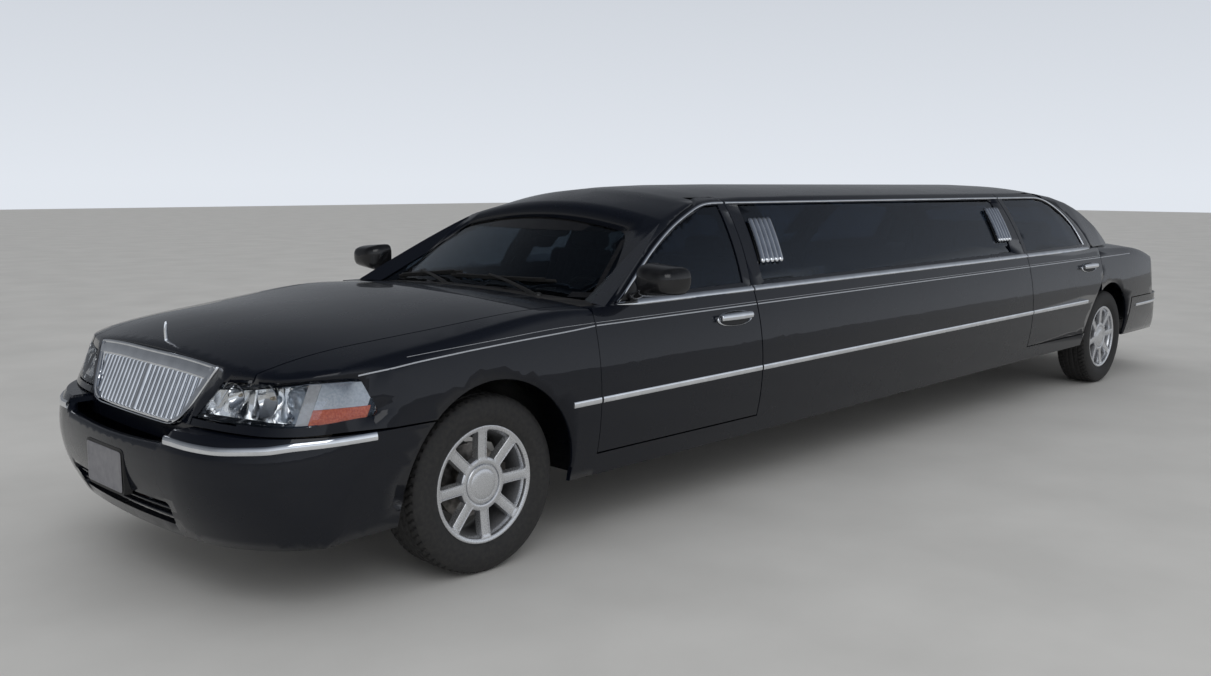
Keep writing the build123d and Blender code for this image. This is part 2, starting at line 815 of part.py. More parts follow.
def make_grille():
    layer = nose_layer(grille_proud, grille_depth)
    span = (front_axle_x + 600, front_axle_x + 1100)
    frame = push_front(grille_opening(), *span) - push_front(grille_opening(-grille_frame_width), *span)
    grille = frame & layer
    inner_layer = nose_layer(0, grille_depth - 10)
    bars = box(*span, -middle_bar_width / 2, middle_bar_width / 2, 560, 900)
    pitch = (grille_half_width - grille_frame_width - middle_bar_width / 2) / (bar_count + 0.4)
    for number in range(bar_count):
        y = middle_bar_width / 2 + (number + 0.8) * pitch
        for sign in (-1, 1):
            bars += box(*span, sign * y - bar_width / 2, sign * y + bar_width / 2, 560, 900)
    bars = bars & push_front(grille_opening(-grille_frame_width + 2), *span) & inner_layer
    return grille + bars


def make_hood():
    """Hood panel that wraps down over the nose, open where the grille sits."""
    hood = nose_shell & hood_region() & above_bumper
    hood = cut_both(hood, lamp_region(lamp_gap), under_lamp(shut_gap))
    hood = hood - push_front(grille_opening(), front_axle_x + 600, front_axle_x + 1100)
    return hood & box(front_axle_x + hood_rear, front_axle_x + 1100, -far, far, 0, 1300)


def wheel_liner(beside_x, inner_y, outer_y, radius):
    """A thin arch over the wheel, inside the body."""
    ring = Pos(beside_x, 0, tyre_radius) * Rot(90, 0, 0) * (Cylinder(radius + 6, outer_y - inner_y)
                                                         - Cylinder(radius, outer_y - inner_y))
    ring = Pos(0, (inner_y + outer_y) / 2, 0) * ring
    return ring - box(beside_x - 600, beside_x + 600, -far, far, -100, tyre_radius - 20)


def make_fenders():
    """Front fenders from the door to the bumper, each with its arch and the liner over the wheel."""
    shell = left_half(front_outer - front_inner)
    rearward = shell & box(front_lead_x + shut_gap / 2, front_axle_x + 430, 0, far, 0, 1300)
    rearward = rearward - box(bumper_rear_edge, front_axle_x + 1200, -far, far, 0, nose_foot_z)
    forward = left_half(nose_shell) & box(front_axle_x + 430, front_axle_x + 1100, 0, far, nose_foot_z, 1300)
    fender = (rearward + forward) - (hood_region(shut_gap) - under_lamp()) - lamp_region()
    fender = fender - arch_cut(front_axle_x, 400)
    liner = wheel_liner(front_axle_x, 452, 968, arch_radius + 6) & left_half(front_inner)
    return both_sides(fender + liner)


def make_bumper_front():
    """Bumper cover with its intake slots and a flat shelf under the grille and the lamps."""
    outer = front_outer & rounded_block(bumper_nose, front_axle_x, bumper_levels)
    inner = front_inner & rounded_block(bumper_nose, front_axle_x, bumper_levels, panel_thickness)
    below = box(bumper_rear_edge, front_axle_x + 1200, -far, far, 0, nose_foot_z - shut_gap)
    cover = (outer - inner) & below
    span = (front_axle_x + 600, front_axle_x + 1200)
    shelf = outer & box(front_axle_x + 780, span[1], -far, far, nose_foot_z - 36, nose_foot_z - shut_gap)
    bumper = cover + shelf - push_front(grille_opening(bumper_dip), *span)
    slot = fillet(make_face(Polyline((-400, 300), (400, 300), (430, 392), (-430, 392), close=True)).vertices(), 20)
    bumper = bumper - push_front(slot, *span)
    return cut_both(bumper, arch_cut(front_axle_x, 400))


def make_headlamps():
    layer = nose_shell & above_bumper
    return both_sides(layer & lamp_region())


# Boot lid shut line in plan. Columns: distance from the rear axle, half width
boot_front = -640
boot_side = [(boot_front, 640), (-900, 640), (-1372, 610)]
boot_foot_z = 690
tail_lamp_inner_y = 640
tail_lamp_foot_z = 662
tail_lamp_top_z = 905


def boot_region(grow=0):
    """Plan outline of the boot lid, pushed straight up."""
    right = [(rear_axle_x + x + (grow if x == boot_front else 0), y + grow) for x, y in boot_side]
    end = rear_axle_x - 1600
    points = [*right, (end, right[-1][1]), (end, -right[-1][1]), *[(x, -y) for x, y in reversed(right)]]
    lid = push_up(make_face(Polyline(*points, close=True)).face(), boot_foot_z - grow, 1300)
    return lid


def tail_lamp_region(grow=0):
    """The space of a tail lamp on the left: an upright band round the rear corner."""
    base = rear_axle_x
    side = outline((base - 1600, tail_lamp_foot_z - grow), (base - 1180 + grow, tail_lamp_foot_z - grow),
                   (base - 1215 + grow, tail_lamp_top_z + grow), (base - 1600, tail_lamp_top_z + grow))
    return push_side(side, plug_start_y, tail_lamp_inner_y + shut_gap - grow)


tail_block = end_block(upper_tail, rear_axle_x, 0, tail_lean, tail_lean_z)
tail_shell = (tail_outer & tail_block) - (tail_inner & end_block(upper_tail, rear_axle_x, panel_thickness,
                                                                 tail_lean, tail_lean_z))
tail_foot_z = 628


def make_boot_lid():
    return tail_shell & boot_region()


def make_rear_body():
    """Rear quarters from the doors to the bumper, the deck below the window and the panel below the lid."""
    shell = tail_shell & box(rear_axle_x - 1600, rear_trail_x + 420, -far, far, 0, 1300)
    low_tail = box(rear_axle_x - 1600, rear_axle_x - arch_radius - 10, -far, far, 0, tail_foot_z)
    shell = shell - low_tail - boot_region(shut_gap)
    shell = cut_both(shell, tail_lamp_region(), *rear_holes)
    ahead = box(rear_trail_x + 30, rear_trail_x + 600, -far, far, sill_z(rear_axle_x) + 20, 1300)
    shell = shell - ahead
    sill_end = box(rear_axle_x + 380, rear_axle_x + 800, -far, far, 0, 1300)
    under_window = box(rear_axle_x - 480, rear_axle_x + 800, -690, 690, 940, 1300)
    shell = shell - sill_end - under_window
    shell = cut_both(shell, arch_cut(rear_axle_x, 560))
    liner = wheel_liner(rear_axle_x, 600, 955, arch_radius + 6) & tail_inner
    liner = liner - sill_end
    return shell + liner + mirrored(liner)


def make_rear_bumper():
    outer = tail_outer & end_block(bumper_tail, rear_axle_x)
    inner = tail_inner & end_block(bumper_tail, rear_axle_x, panel_thickness)
    below = box(rear_axle_x - 1600, rear_axle_x - arch_radius - 30, -far, far, 0, tail_foot_z - shut_gap)
    cover = (outer - inner) & below
    shelf = outer & box(rear_axle_x - 1600, rear_axle_x - 1290, -far, far, tail_foot_z - 36, tail_foot_z - shut_gap)
    return cut_both(cover + shelf, arch_cut(rear_axle_x, 560))


def make_tail_lamps():
    return both_sides(left_half(tail_shell) & tail_lamp_region() & box(-6000, 6000, 0, far, tail_foot_z, 1300))


def make_windscreen():
    """Curved windscreen between the roof pillars, standing on the cowl."""
    pane = slanted_screen(front_axle_x + screen_foot_x, screen_foot_z, screen_slope, screen_plan_radius, False,
                          glass_recess)
    back = slanted_screen(front_axle_x + screen_foot_x, screen_foot_z, screen_slope, screen_plan_radius, False,
                          glass_recess + glass_thickness)
    return (pillar_inner & pane) - back - front_outer


def make_rear_window():
    pane = slanted_screen(rear_axle_x + backlight_foot, backlight_foot_z, backlight_slope,
                          backlight_plan_radius, True, glass_recess)
    back = slanted_screen(rear_axle_x + backlight_foot, backlight_foot_z, backlight_slope,
                          backlight_plan_radius, True, glass_recess + glass_thickness)
    return (roof_rear_inner & pane) - back - tail_outer


tunnel_end_x = front_axle_x - 1750
low_tunnel_end_x = front_axle_x - 2790
floor_top = floor_z + floor_thickness / 2


def make_cowl():
    """Cowl panel below the windscreen, the firewall and the hinge posts of the front doors."""
    top = (front_outer - front_inner) & box(front_axle_x + cowl_rear, front_axle_x + hood_rear - shut_gap,
                                            -842, 842, 900, 1200)
    base = front_axle_x + hood_rear - shut_gap
    below = front_clip(panel_thickness / 2, 60)
    wall = box(base - 38, base, -835, 835, floor_top, 1010) & below
    wall = wall - box(base - 60, base + 10, -tunnel_half_width, tunnel_half_width, 0, tunnel_top_z)
    posts = box(front_axle_x - 640, base, 760, 838, floor_top, 1010) & below
    return top + wall + posts + mirrored(posts)


def make_floor():
    """Floor from the firewall to the tail, with its tunnel, heel board, rear bulkhead and parcel shelf."""
    t = floor_thickness
    front = front_axle_x + hood_rear - shut_gap
    heel = rear_axle_x + 790
    shelf_z = 1012
    boot = rear_axle_x - 700
    end = rear_axle_x - 1278
    profile = Polyline((front, floor_z), (heel, floor_z), (heel - 60, rear_floor_z), (boot, rear_floor_z),
                       (boot - 20, boot_floor_z), (end, boot_floor_z))
    band = make_face(offset(profile, t / 2, side=Side.BOTH).edges()).face()
    floor = push_side(band, 560, -560)
    sides = push_side(outline((front, floor_z - t / 2), (heel, floor_z - t / 2), (heel, floor_z + t / 2),
                              (front, floor_z + t / 2)), floor_half_width, 550)
    boot_sides = push_side(outline((boot - 20, boot_floor_z - t / 2), (end, boot_floor_z - t / 2),
                                   (end, boot_floor_z + t / 2), (boot - 20, boot_floor_z + t / 2)),
                           720, 550)
    bulkhead = box(rear_axle_x + 40, rear_axle_x + 58, -740, 740, rear_floor_z, shelf_z - 12)
    shelf = box(rear_axle_x - 600, rear_axle_x + 30, -740, 740, shelf_z - 12, shelf_z) & tail_inner
    shelf = shelf + box(rear_axle_x + 20, rear_axle_x + 58, -700, 700, shelf_z - 24, shelf_z - 12)
    bulkhead = cut_both(bulkhead, arch_cut(rear_axle_x, 590, arch_radius + 14))
    floor = floor + sides + mirrored(sides) + boot_sides + mirrored(boot_sides) + bulkhead + shelf
    humps = [(tunnel_end_x, front, tunnel_top_z), (low_tunnel_end_x, front, low_tunnel_z),
             (heel - 30, heel + 330, low_tunnel_z)]
    for end_x, start_x, top in humps:
        floor = floor + box(end_x, start_x, -tunnel_half_width, tunnel_half_width, floor_z, top)
    for end_x, start_x, top in humps:
        floor = floor - box(end_x + t, start_x - t, -tunnel_half_width + t, tunnel_half_width - t, 0, top - t)
    floor = floor - box(front - 2 * t, front + t, -tunnel_half_width + t, tunnel_half_width - t, 0, tunnel_top_z - t)
    return floor - box(heel - 130, heel + 360, -50, 50, 0, low_tunnel_z - t)


# Side view of a frame rail. Columns: x beside its axle, height of the rail's foot
front_rail = [(905, 300), (250, 300), (-450, 212)]
rear_rail = [(700, 212), (330, 470), (-330, 470), (-700, 330), (-1290, 330)]
cross_member_spots = [-900, -1900, -2900, -3900, -4900]


def make_frame():
    """Ladder frame: two rails that rise over the rear axle, and the members between them."""
    foot = [(front_axle_x + x, z) for x, z in front_rail] + [(rear_axle_x + x, z) for x, z in rear_rail]
    middle = [(x, z + rail_height / 2) for x, z in foot]
    band = make_face(offset(Polyline(*middle), rail_height / 2, side=Side.BOTH, kind=Kind.INTERSECTION).edges()).face()
    rail = push_side(band, front_rail_y + rail_width / 2, front_rail_y - rail_width / 2)
    members = None
    for spot in cross_member_spots:
        x = front_axle_x + spot
        member = box(x - 45, x + 45, -front_rail_y, front_rail_y, frame_foot_z, frame_foot_z + 30)
        members = member if members is None else members + member
    for x, z in ((front_axle_x + 900, 330), (rear_axle_x - 1240, 350), (rear_axle_x - 420, 490)):
        members += box(x - 30, x + 30, -front_rail_y, front_rail_y, z, z + 60)
    return rail + mirrored(rail) + members


def make_tyre():
    """Tyre section: bead, bulging sidewall, rounded shoulder and a nearly flat tread."""
    half = tyre_width / 2
    bead = rim_width / 2 - 8
    tread = half - 24
    wall = (half, (rim_radius + tyre_radius) / 2)
    lip = rim_radius + 2
    side = [
        Line((0, bead_radius), (bead, bead_radius)),
        Line((bead, bead_radius), (bead, lip)),
        ThreePointArc((bead, lip), wall, (half - 10, tyre_radius - 26)),
        ThreePointArc((half - 10, tyre_radius - 26), (half - 15, tyre_radius - 13), (tread, tyre_radius - 6)),
        ThreePointArc((tread, tyre_radius - 6), (tread / 2, tyre_radius - 1.5), (0, tyre_radius)),
        Line((0, tyre_radius), (0, bead_radius)),
    ]
    face = make_face(side).face()
    half_tyre = revolve(face, Axis.X)
    tyre = half_tyre + mirror(half_tyre, about=Plane.YZ)
    return Rot(0, 0, 90) * tyre





def make_rim():
    """Alloy wheel with a barrel, broad flat spokes, hub and the brake disc behind it, axle along Y."""
    half = rim_width / 2
    wall = 7
    well = bead_radius - 22
    section_points = [(-half, rim_radius), (-half, bead_radius - wall), (-half + 40, well - wall),
                      (half - 46, well - wall), (half - 30, bead_radius - wall - 6), (half, bead_radius - wall),
                      (half, rim_radius), (half - 7, rim_radius), (half - 8, bead_radius - 0.2),
                      (half - 34, bead_radius - 0.2), (half - 48, well), (-half + 42, well),
                      (-half + 20, bead_radius - 0.2), (-half + 8, bead_radius - 0.2), (-half + 7, rim_radius)]
    barrel = Rot(0, 0, 90) * revolve(make_face(Polyline(*section_points, close=True)).face(), Axis.X)
    outer_face = half - 22
    spoke_depth = 26
    hub = Pos(0, outer_face - 34, 0) * Rot(90, 0, 0) * Cylinder(hub_radius, 60)
    cap = Pos(0, outer_face + 2, 0) * Rot(90, 0, 0) * Cone(hub_radius - 28, hub_radius - 18, 14)
    spokes = hub + cap
    reach = bead_radius - wall - 2
    for number in range(spoke_count):
        flat = make_face(Polyline((-spoke_width / 2, hub_radius - 20), (-spoke_width * 0.56, reach),
                                  (spoke_width * 0.56, reach), (spoke_width / 2, hub_radius - 20), close=True)).face()
        spoke = extrude(Plane(origin=(0, outer_face, 0), x_dir=(1, 0, 0), z_dir=(0, -1, 0)) * flat,
                        spoke_depth, dir=(0, -1, 0))
        spokes += Rot(0, 360 / spoke_count * (number + 0.5), 0) * spoke
    disc_y = -18
    disc = Pos(0, disc_y, 0) * Rot(90, 0, 0) * Cylinder(disc_radius, disc_thickness)
    bell = Pos(0, disc_y + 22, 0) * Rot(90, 0, 0) * Cylinder(hub_radius, 44)
    rim = barrel + spokes + disc + bell
    bore = Pos(0, -20, 0) * Rot(90, 0, 0) * Cylinder(spindle_radius + running_gap, 100)
    return rim - bore


wheel_places = [("front_left", front_axle_x, front_track / 2, 1), ("front_right", front_axle_x, -front_track / 2, -1),
                ("rear_left", rear_axle_x, rear_track / 2, 1), ("rear_right", rear_axle_x, -rear_track / 2, -1)]
spindle_reach = 26
caliper_gap = 5


def make_knuckle():
    """Left steering knuckle: upright with ball pins, spindle into the wheel, brake caliper and steering arm."""
    x, z = front_axle_x, tyre_radius
    wheel_y = front_track / 2
    upright = box(x - 30, x + 30, kingpin_half_track - 30, kingpin_half_track + 26, z - 105, z + 125)
    inner_face = wheel_y - 18 - disc_thickness / 2 - caliper_gap
    spindle = rod((x, kingpin_half_track, z), (x, wheel_y + spindle_reach, z), spindle_radius)
    collar = rod((x, kingpin_half_track, z), (x, inner_face, z), spindle_radius + 20)
    pins = rod((x, kingpin_half_track, z - 150), (x, kingpin_half_track, z + 170), kingpin_radius)
    arm = box(x + 20, x + 150, kingpin_half_track - 28, kingpin_half_track, z - 60, z - 36)
    disc_y = wheel_y - 18
    reach = disc_radius + caliper_gap
    caliper = box(x - reach - 16, x - 84, disc_y - disc_thickness / 2 - 34, disc_y + disc_thickness / 2 + 24,
                  z - 46, z + 46)
    slot = Pos(x, disc_y, z) * Rot(90, 0, 0) * Cylinder(reach, disc_thickness + 2 * caliper_gap)
    bracket = box(x - 130, x - 20, disc_y - disc_thickness / 2 - 34, inner_face - 2, z - 26, z + 26)
    return upright + spindle + collar + pins + arm + (caliper - slot) + bracket


def wishbone(height, inner_y, spread, thick):
    """A suspension arm: two legs from the frame that meet in an eye round the kingpin."""
    x = front_axle_x
    face = make_face(Polyline((x - spread, inner_y), (x - spread + 46, inner_y), (x, kingpin_half_track - 70),
                              (x + spread - 46, inner_y), (x + spread, inner_y), (x + 26, kingpin_half_track),
                              (x - 26, kingpin_half_track), close=True)).face()
    arm = push_up(face, height - thick / 2, height + thick / 2)
    eye = Pos(x, kingpin_half_track, height) * Cylinder(27, thick + 8)
    pin = Pos(x, kingpin_half_track, height) * Cylinder(kingpin_radius + running_gap, thick + 40)
    return arm + eye - pin


def make_front_suspension():
    """Cross member, springs and the upper and lower arms that hold the steering knuckles."""
    x, z = front_axle_x, tyre_radius
    inner = front_rail_y + rail_width / 2
    lower = wishbone(z - 132, inner, 150, 22)
    upper = wishbone(z + 152, inner - 20, 100, 18)
    tower = box(x - 110, x + 110, inner - 62, inner + 4, z + 30, z + 170)
    foot = box(x - 170, x + 170, inner - 70, inner + 10, z - 150, z - 51)
    spring = rod((x, inner + 58, z - 124), (x, inner + 58, z + 30), 36)
    seat = box(x - 50, x + 50, inner - 10, inner + 100, z + 30, z + 60)
    one = lower + upper + tower + foot + spring + seat
    cross = box(x - 70, x + 70, -inner + 60, inner - 60, z - 150, z - 80)
    return one + mirrored(one) + cross - frame_solid


def make_rear_axle():
    """Live rear axle: tube, differential housing and spindles, with its arms and springs up to the frame."""
    x, z = rear_axle_x, tyre_radius
    wheel_y = rear_track / 2
    hub_face = wheel_y - 18 - disc_thickness / 2 - caliper_gap
    tube = rod((x, -hub_face, z), (x, hub_face, z), 42)
    spindles = rod((x, -wheel_y - spindle_reach, z), (x, wheel_y + spindle_reach, z), spindle_radius)
    housing = Pos(x, 0, z) * Sphere(138)
    nose = rod((x + 60, 0, z), (x + 215, 0, z - 8), 52)
    arm_y = front_rail_y
    arms = rod((x, arm_y, z - 18), (x + 620, arm_y, frame_foot_z + 40), 20)
    spring = rod((x, arm_y + 96, z + 20), (x, arm_y + 96, 520), 52)
    seat = box(x - 56, x + 56, arm_y + 20, arm_y + 150, 512, 530)
    one = arms + spring + seat
    return tube + spindles + housing + nose + one + mirrored(one) - frame_solid


engine_rear_x = front_axle_x - 330


def make_engine():
    """Engine as one block, with the gearbox behind it in the tunnel."""
    x = engine_rear_x
    block = box(x, x + 560, -250, 250, 330, 800)
    block = chamfer(block.edges().filter_by(Axis.X), 60)
    gearbox = box(x - 420, x, -120, 120, 345, 480)
    tail = box(x - 900, x - 420, -70, 70, 300, 440)
    mounts = box(x + 190, x + 290, -front_rail_y, front_rail_y, 340, 372)
    return block + gearbox + tail + mounts - frame_solid


shaft_z = 285
shaft_radius = 36


def make_drive_shaft():
    """Drive shaft in three lengths with bearings on the frame's cross members."""
    start = engine_rear_x - 900
    bearings = [front_axle_x + spot for spot in (-2900, -4900)]
    stops = [(start, 345), (bearings[0], shaft_z), (bearings[1], shaft_z), (rear_axle_x + 215, tyre_radius - 8)]
    shaft = None
    for (x0, z0), (x1, z1) in zip(stops, stops[1:]):
        length = rod((x0, 0, z0), (x1, 0, z1), shaft_radius)
        shaft = length if shaft is None else shaft + length
    for x in bearings:
        shaft += Pos(x, 0, shaft_z) * Sphere(shaft_radius + 4)
        shaft += box(x - 30, x + 30, -60, 60, frame_foot_z + 30, shaft_z)
    return shaft - engine_solid - rear_axle_solid


def make_exhaust():
    """Exhaust pipe along the right side, with its silencer, over the axle and out under the bumper."""
    pipe_y = -250
    radius = 28
    spots = [(engine_rear_x + 120, pipe_y, 300), (engine_rear_x - 200, pipe_y, 272), (rear_axle_x + 560, pipe_y, 272),
             (rear_axle_x + 180, pipe_y, 440), (rear_axle_x - 220, pipe_y, 440),
             (rear_axle_x - 560, pipe_y, 300), (rear_axle_x - 1310, pipe_y, 270)]
    path = FilletPolyline(*spots, radius=90)
    start = path @ 0
    profile = Plane(origin=start, z_dir=path % 0) * Circle(radius)
    pipe = sweep(profile, path=path)
    silencer_x = front_axle_x - 3400
    silencer = Pos(silencer_x, pipe_y, 272) * Rot(0, 90, 0) * extrude(Ellipse(48, 110), 420, both=True)
    return pipe + silencer


def steering_plane():
    """The steering wheel's own plane, facing back and up to the driver."""
    axis = Vector(-cos(radians(24)), 0, sin(radians(24)))
    return Plane(origin=(front_axle_x - 1130, 380, 880), x_dir=(0, 1, 0), z_dir=axis)


def make_dashboard():
    """Dashboard across the cabin with a hooded instrument panel and the console behind it."""
    x = front_axle_x + hood_rear - shut_gap
    profile = outline((x - 42, 700), (x - 42, 918), ((x - 150, 946), (x - 300, 926)), (x - 390, 850),
                      (x - 380, 760), (x - 260, 660), (x - 120, 640))
    dash = push_side(profile, 745, -745)
    hood_profile = outline((x - 250, 900), (x - 290, 968), ((x - 350, 985), (x - 415, 958)), (x - 400, 840))
    binnacle = push_side(hood_profile, 560, 200)
    console = box(x - 1150, x - 140, -120, 120, tunnel_top_z, tunnel_top_z + 160)
    column_way = steering_plane() * Pos(0, 0, -110) * Cylinder(26 + 6, 300)
    return dash + binnacle + console - column_way


def seat_shape(rear_x, width, depth, cushion_z, back_z, lean, foot_z):
    """A seat in side view: plinth, cushion and a back that leans, pushed to its width."""
    run = (back_z - cushion_z) * tan(radians(lean))
    thick = 150
    face = outline((rear_x + depth, foot_z), (rear_x + depth, cushion_z - 60),
                   ((rear_x + depth - 16, cushion_z - 12), (rear_x + depth - 60, cushion_z)),
                   (rear_x + thick + 40, cushion_z - 30), (rear_x + thick - run, back_z - 40),
                   ((rear_x + thick - run - 60, back_z), (rear_x - run + 30, back_z - 30)),
                   (rear_x, cushion_z - 60), (rear_x, foot_z))
    return push_side(face, width / 2, -width / 2)


front_seat_rear_x = front_axle_x - 1800
rear_seat_x = rear_axle_x + 240
side_bench = (front_axle_x - 4300, front_axle_x - 2350)
partition_x = front_axle_x - 2060


def make_front_seats():
    seat = seat_shape(front_seat_rear_x, 540, 560, 600, 1230, 16, floor_top)
    left = Pos(0, 425, 0) * seat
    return both_sides(left - box(-6000, 6000, -tunnel_half_width - 4, tunnel_half_width + 4, 0, tunnel_top_z + 4))


def make_rear_seats():
    """Rear bench on the heel board and a long side bench along the right wall."""
    rear = seat_shape(rear_seat_x, 1160, 540, 770, 1230, 14, rear_floor_z + floor_thickness / 2)
    x0, x1 = side_bench
    wall_y = -floor_half_width + 30
    profile = outline((wall_y, floor_top), (wall_y, 980), (wall_y + 90, 1000), (wall_y + 140, 700),
                      (wall_y + 520, 700), (wall_y + 520, floor_top))
    bench = push_front(profile, x0, x1)
    return Compound([*rear.solids(), *bench.solids()])


def make_partition():
    """Wall behind the front seats with a wide window."""
    x = partition_x
    inner = roof_front_inner
    upper = inner & box(x - 25, x + 25, -far, far, 1012, 1426)
    lower = box(x - 25, x + 25, -floor_half_width + 12, floor_half_width - 12, floor_top, 1012)
    hole = box(x - 40, x + 40, -520, 520, 1010, 1330)
    tunnel = box(x - 40, x + 40, -tunnel_half_width, tunnel_half_width, 0, low_tunnel_z)
    return upper + lower - hole - tunnel


def make_bar():
    """Drinks cabinet along the left wall, with a counter and a recess for glasses above it."""
    x0, x1 = side_bench
    wall_y = floor_half_width - 30
    profile = outline((wall_y, floor_top), (wall_y, 985), (wall_y - 100, 985), (wall_y - 100, 860),
                      (wall_y - 370, 860), (wall_y - 350, 820), (wall_y - 350, floor_top))
    return push_front(profile, x0 + 250, x1)


def make_steering_wheel():
    """Steering wheel on its column, tilted towards the driver."""
    plane = steering_plane()
    ring = Torus(186, 15)
    hub = Cylinder(62, 46)
    wheel = ring + hub
    for turn in (0, 180, 270):
        wheel += Rot(0, 0, turn) * Pos(105, 0, 0) * Box(150, 34, 14)
    column = Pos(0, 0, -110) * Cylinder(26, 180)
    return plane * (wheel + column)


mirror_lead = -745


def make_mirror():
    """Door mirror: a rounded housing on a short foot at the front corner of the window."""
    x = front_axle_x + mirror_lead
    face = fillet(make_face(Polyline((925, 1020), (1178, 1046), (1172, 1158), (985, 1166), (940, 1110),
                                     close=True)).vertices(), 22)
    housing = push_front(face, x - 135, x)
    housing = fillet(housing.edges().filter_by(GeomType.LINE).group_by(Axis.X)[-1], 14)
    foot = box(x - 95, x - 20, 872, 960, 1022, 1062)
    return housing + foot - roof_front_outer - cabin_low_outer


frame_solid = make_frame()
engine_solid = make_engine()
rear_axle_solid = make_rear_axle()
tyre_solid = make_tyre()
rim_solid = make_rim()
front_door_solid = make_front_door()
rear_door_solid = make_rear_door()

nodes = {
    "ladder_frame": frame_solid,
    "floor_pan": make_floor(),
    "cowl": make_cowl(),
    "roof": make_roof(),
    "side_frames": make_side_frames(),
    "front_fenders": make_fenders(),
    "rear_body": make_rear_body(),
    "front_bumper": make_bumper_front(),
    "rear_bumper": make_rear_bumper(),
    "hood": make_hood(),
    "grille": make_grille(),
    "boot_lid": make_boot_lid(),
    "headlamps": make_headlamps(),
    "tail_lamps": make_tail_lamps(),
    "windscreen": make_windscreen(),
    "rear_window": make_rear_window(),
    "stretch_glass": both_sides(glass_pane(beside_stretch)),
    "front_suspension": make_front_suspension(),
    "rear_axle": rear_axle_solid,
    "engine_block": engine_solid,
    "drive_shaft": make_drive_shaft(),
    "exhaust": make_exhaust(),
    "dashboard": make_dashboard(),
    "steering_wheel": make_steering_wheel(),
    "front_seats": make_front_seats(),
    "partition": make_partition(),
    "bar_cabinet": make_bar(),
    "rear_seats": make_rear_seats(),
}
knuckle = make_knuckle()
front_glass = glass_pane(beside_front_window)
rear_glass = glass_pane(beside_rear_window)
mirror_solid = make_mirror()
for side, name in side_names.items():
    nodes[f"front_{name}_door"] = on_side(front_door_solid, side)
    nodes[f"rear_{name}_door"] = on_side(rear_door_solid, side)
    nodes[f"front_{name}_glass"] = on_side(front_glass, side)
    nodes[f"rear_{name}_glass"] = on_side(rear_glass, side)
    nodes[f"{name}_mirror"] = on_side(mirror_solid, side)
    nodes[f"{name}_knuckle"] = on_side(knuckle, side)
for name, x, y, side in wheel_places:
    turned = Rot(0, 0, 0) if side == 1 else Rot(0, 0, 180)
    nodes[f"{name}_tyre"] = Pos(x, y, tyre_radius) * turned * tyre_solid
    nodes[f"{name}_rim"] = Pos(x, y, tyre_radius) * turned * rim_solid

os.makedirs("parts", exist_ok=True)
for name, shape in nodes.items():
    export_step(shape, f"parts/{name}.step")
print(len(nodes), "pieces; front axle at", front_axle_x, "rear axle at", rear_axle_x)
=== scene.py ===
"""Looks of a black stretch limousine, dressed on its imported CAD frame. Metres; +X forward, +Y left, +Z up."""

import bmesh
import bpy
import numpy as np
from mathutils import Matrix


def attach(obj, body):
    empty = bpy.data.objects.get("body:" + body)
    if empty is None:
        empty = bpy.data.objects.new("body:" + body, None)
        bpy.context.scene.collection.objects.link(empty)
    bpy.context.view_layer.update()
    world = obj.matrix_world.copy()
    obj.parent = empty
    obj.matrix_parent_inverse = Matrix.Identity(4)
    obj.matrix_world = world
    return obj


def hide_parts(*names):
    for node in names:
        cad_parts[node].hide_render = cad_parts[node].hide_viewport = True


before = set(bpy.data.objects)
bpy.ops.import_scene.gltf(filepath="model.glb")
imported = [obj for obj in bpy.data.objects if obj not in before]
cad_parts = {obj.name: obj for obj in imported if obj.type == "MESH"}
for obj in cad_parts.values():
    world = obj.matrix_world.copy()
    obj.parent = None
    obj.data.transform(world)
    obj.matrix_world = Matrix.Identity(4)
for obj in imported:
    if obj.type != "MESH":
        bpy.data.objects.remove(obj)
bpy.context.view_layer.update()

# Chassis: a welded ladder frame, the stamped floor and the firewall above it, all dipped in a satin black
# coating that dust and road film have dulled. The body is bolted to it through rubber pads.


def add(tree, kind, values=()):
    """A new node whose named sockets are set to values."""
    node = tree.nodes.new(f"ShaderNode{kind}")
    for socket, value in dict(values).items():
        node.inputs[socket].default_value = value
    return node


def join(tree, *runs):
    """Links: each run names a node and its output, then the node and the socket that it feeds."""
    for source, output, target, socket in runs:
        tree.links.new(source.outputs[output], target.inputs[socket])


def ramp(tree, *stops):
    """A colour ramp from pairs of a place and a colour."""
    tones = add(tree, "ValToRGB")
    for stop, (at, colour) in zip(tones.color_ramp.elements, stops):
        stop.position, stop.color = at, (*colour, 1)
    return tones


def blank_material(name, values):
    """A new material with the shader's named sockets set to values."""
    material = bpy.data.materials.new(name)
    material.use_nodes = True
    shader = material.node_tree.nodes["Principled BSDF"]
    for socket, value in values.items():
        shader.inputs[socket].default_value = value
    return material, material.node_tree, shader


def surface(name, dark, light, grain, rough, bump=0.0, metal=0.0, stretch=(1, 1, 1)):
    """A finish whose tone drifts between two colours with fractal noise; the same noise sets roughness and relief."""
    material, tree, shader = blank_material(name, {"Metallic": metal})
    place = add(tree, "TexCoord")
    turn = add(tree, "Mapping", {"Scale": stretch})
    noise = add(tree, "TexNoise", {"Scale": grain, "Detail": 5.0})
    tones = ramp(tree, (0.32, dark), (0.68, light))
    spread = add(tree, "MapRange", {"To Min": rough[0], "To Max": rough[1]})
    join(tree, (place, "Object", turn, "Vector"), (turn, "Vector", noise, "Vector"), (noise, "Fac", tones, "Fac"),
         (noise, "Fac", spread, "Value"), (tones, "Color", shader, "Base Color"),
         (spread, "Result", shader, "Roughness"))
    if bump:
        relief = add(tree, "Bump", {"Strength": bump, "Distance": 0.001})
        join(tree, (noise, "Fac", relief, "Height"), (relief, "Normal", shader, "Normal"))
    return material


def dress(node, material):
    """Gives a CAD node a finish."""
    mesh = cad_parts[node].data
    mesh.materials.clear()
    mesh.materials.append(material)


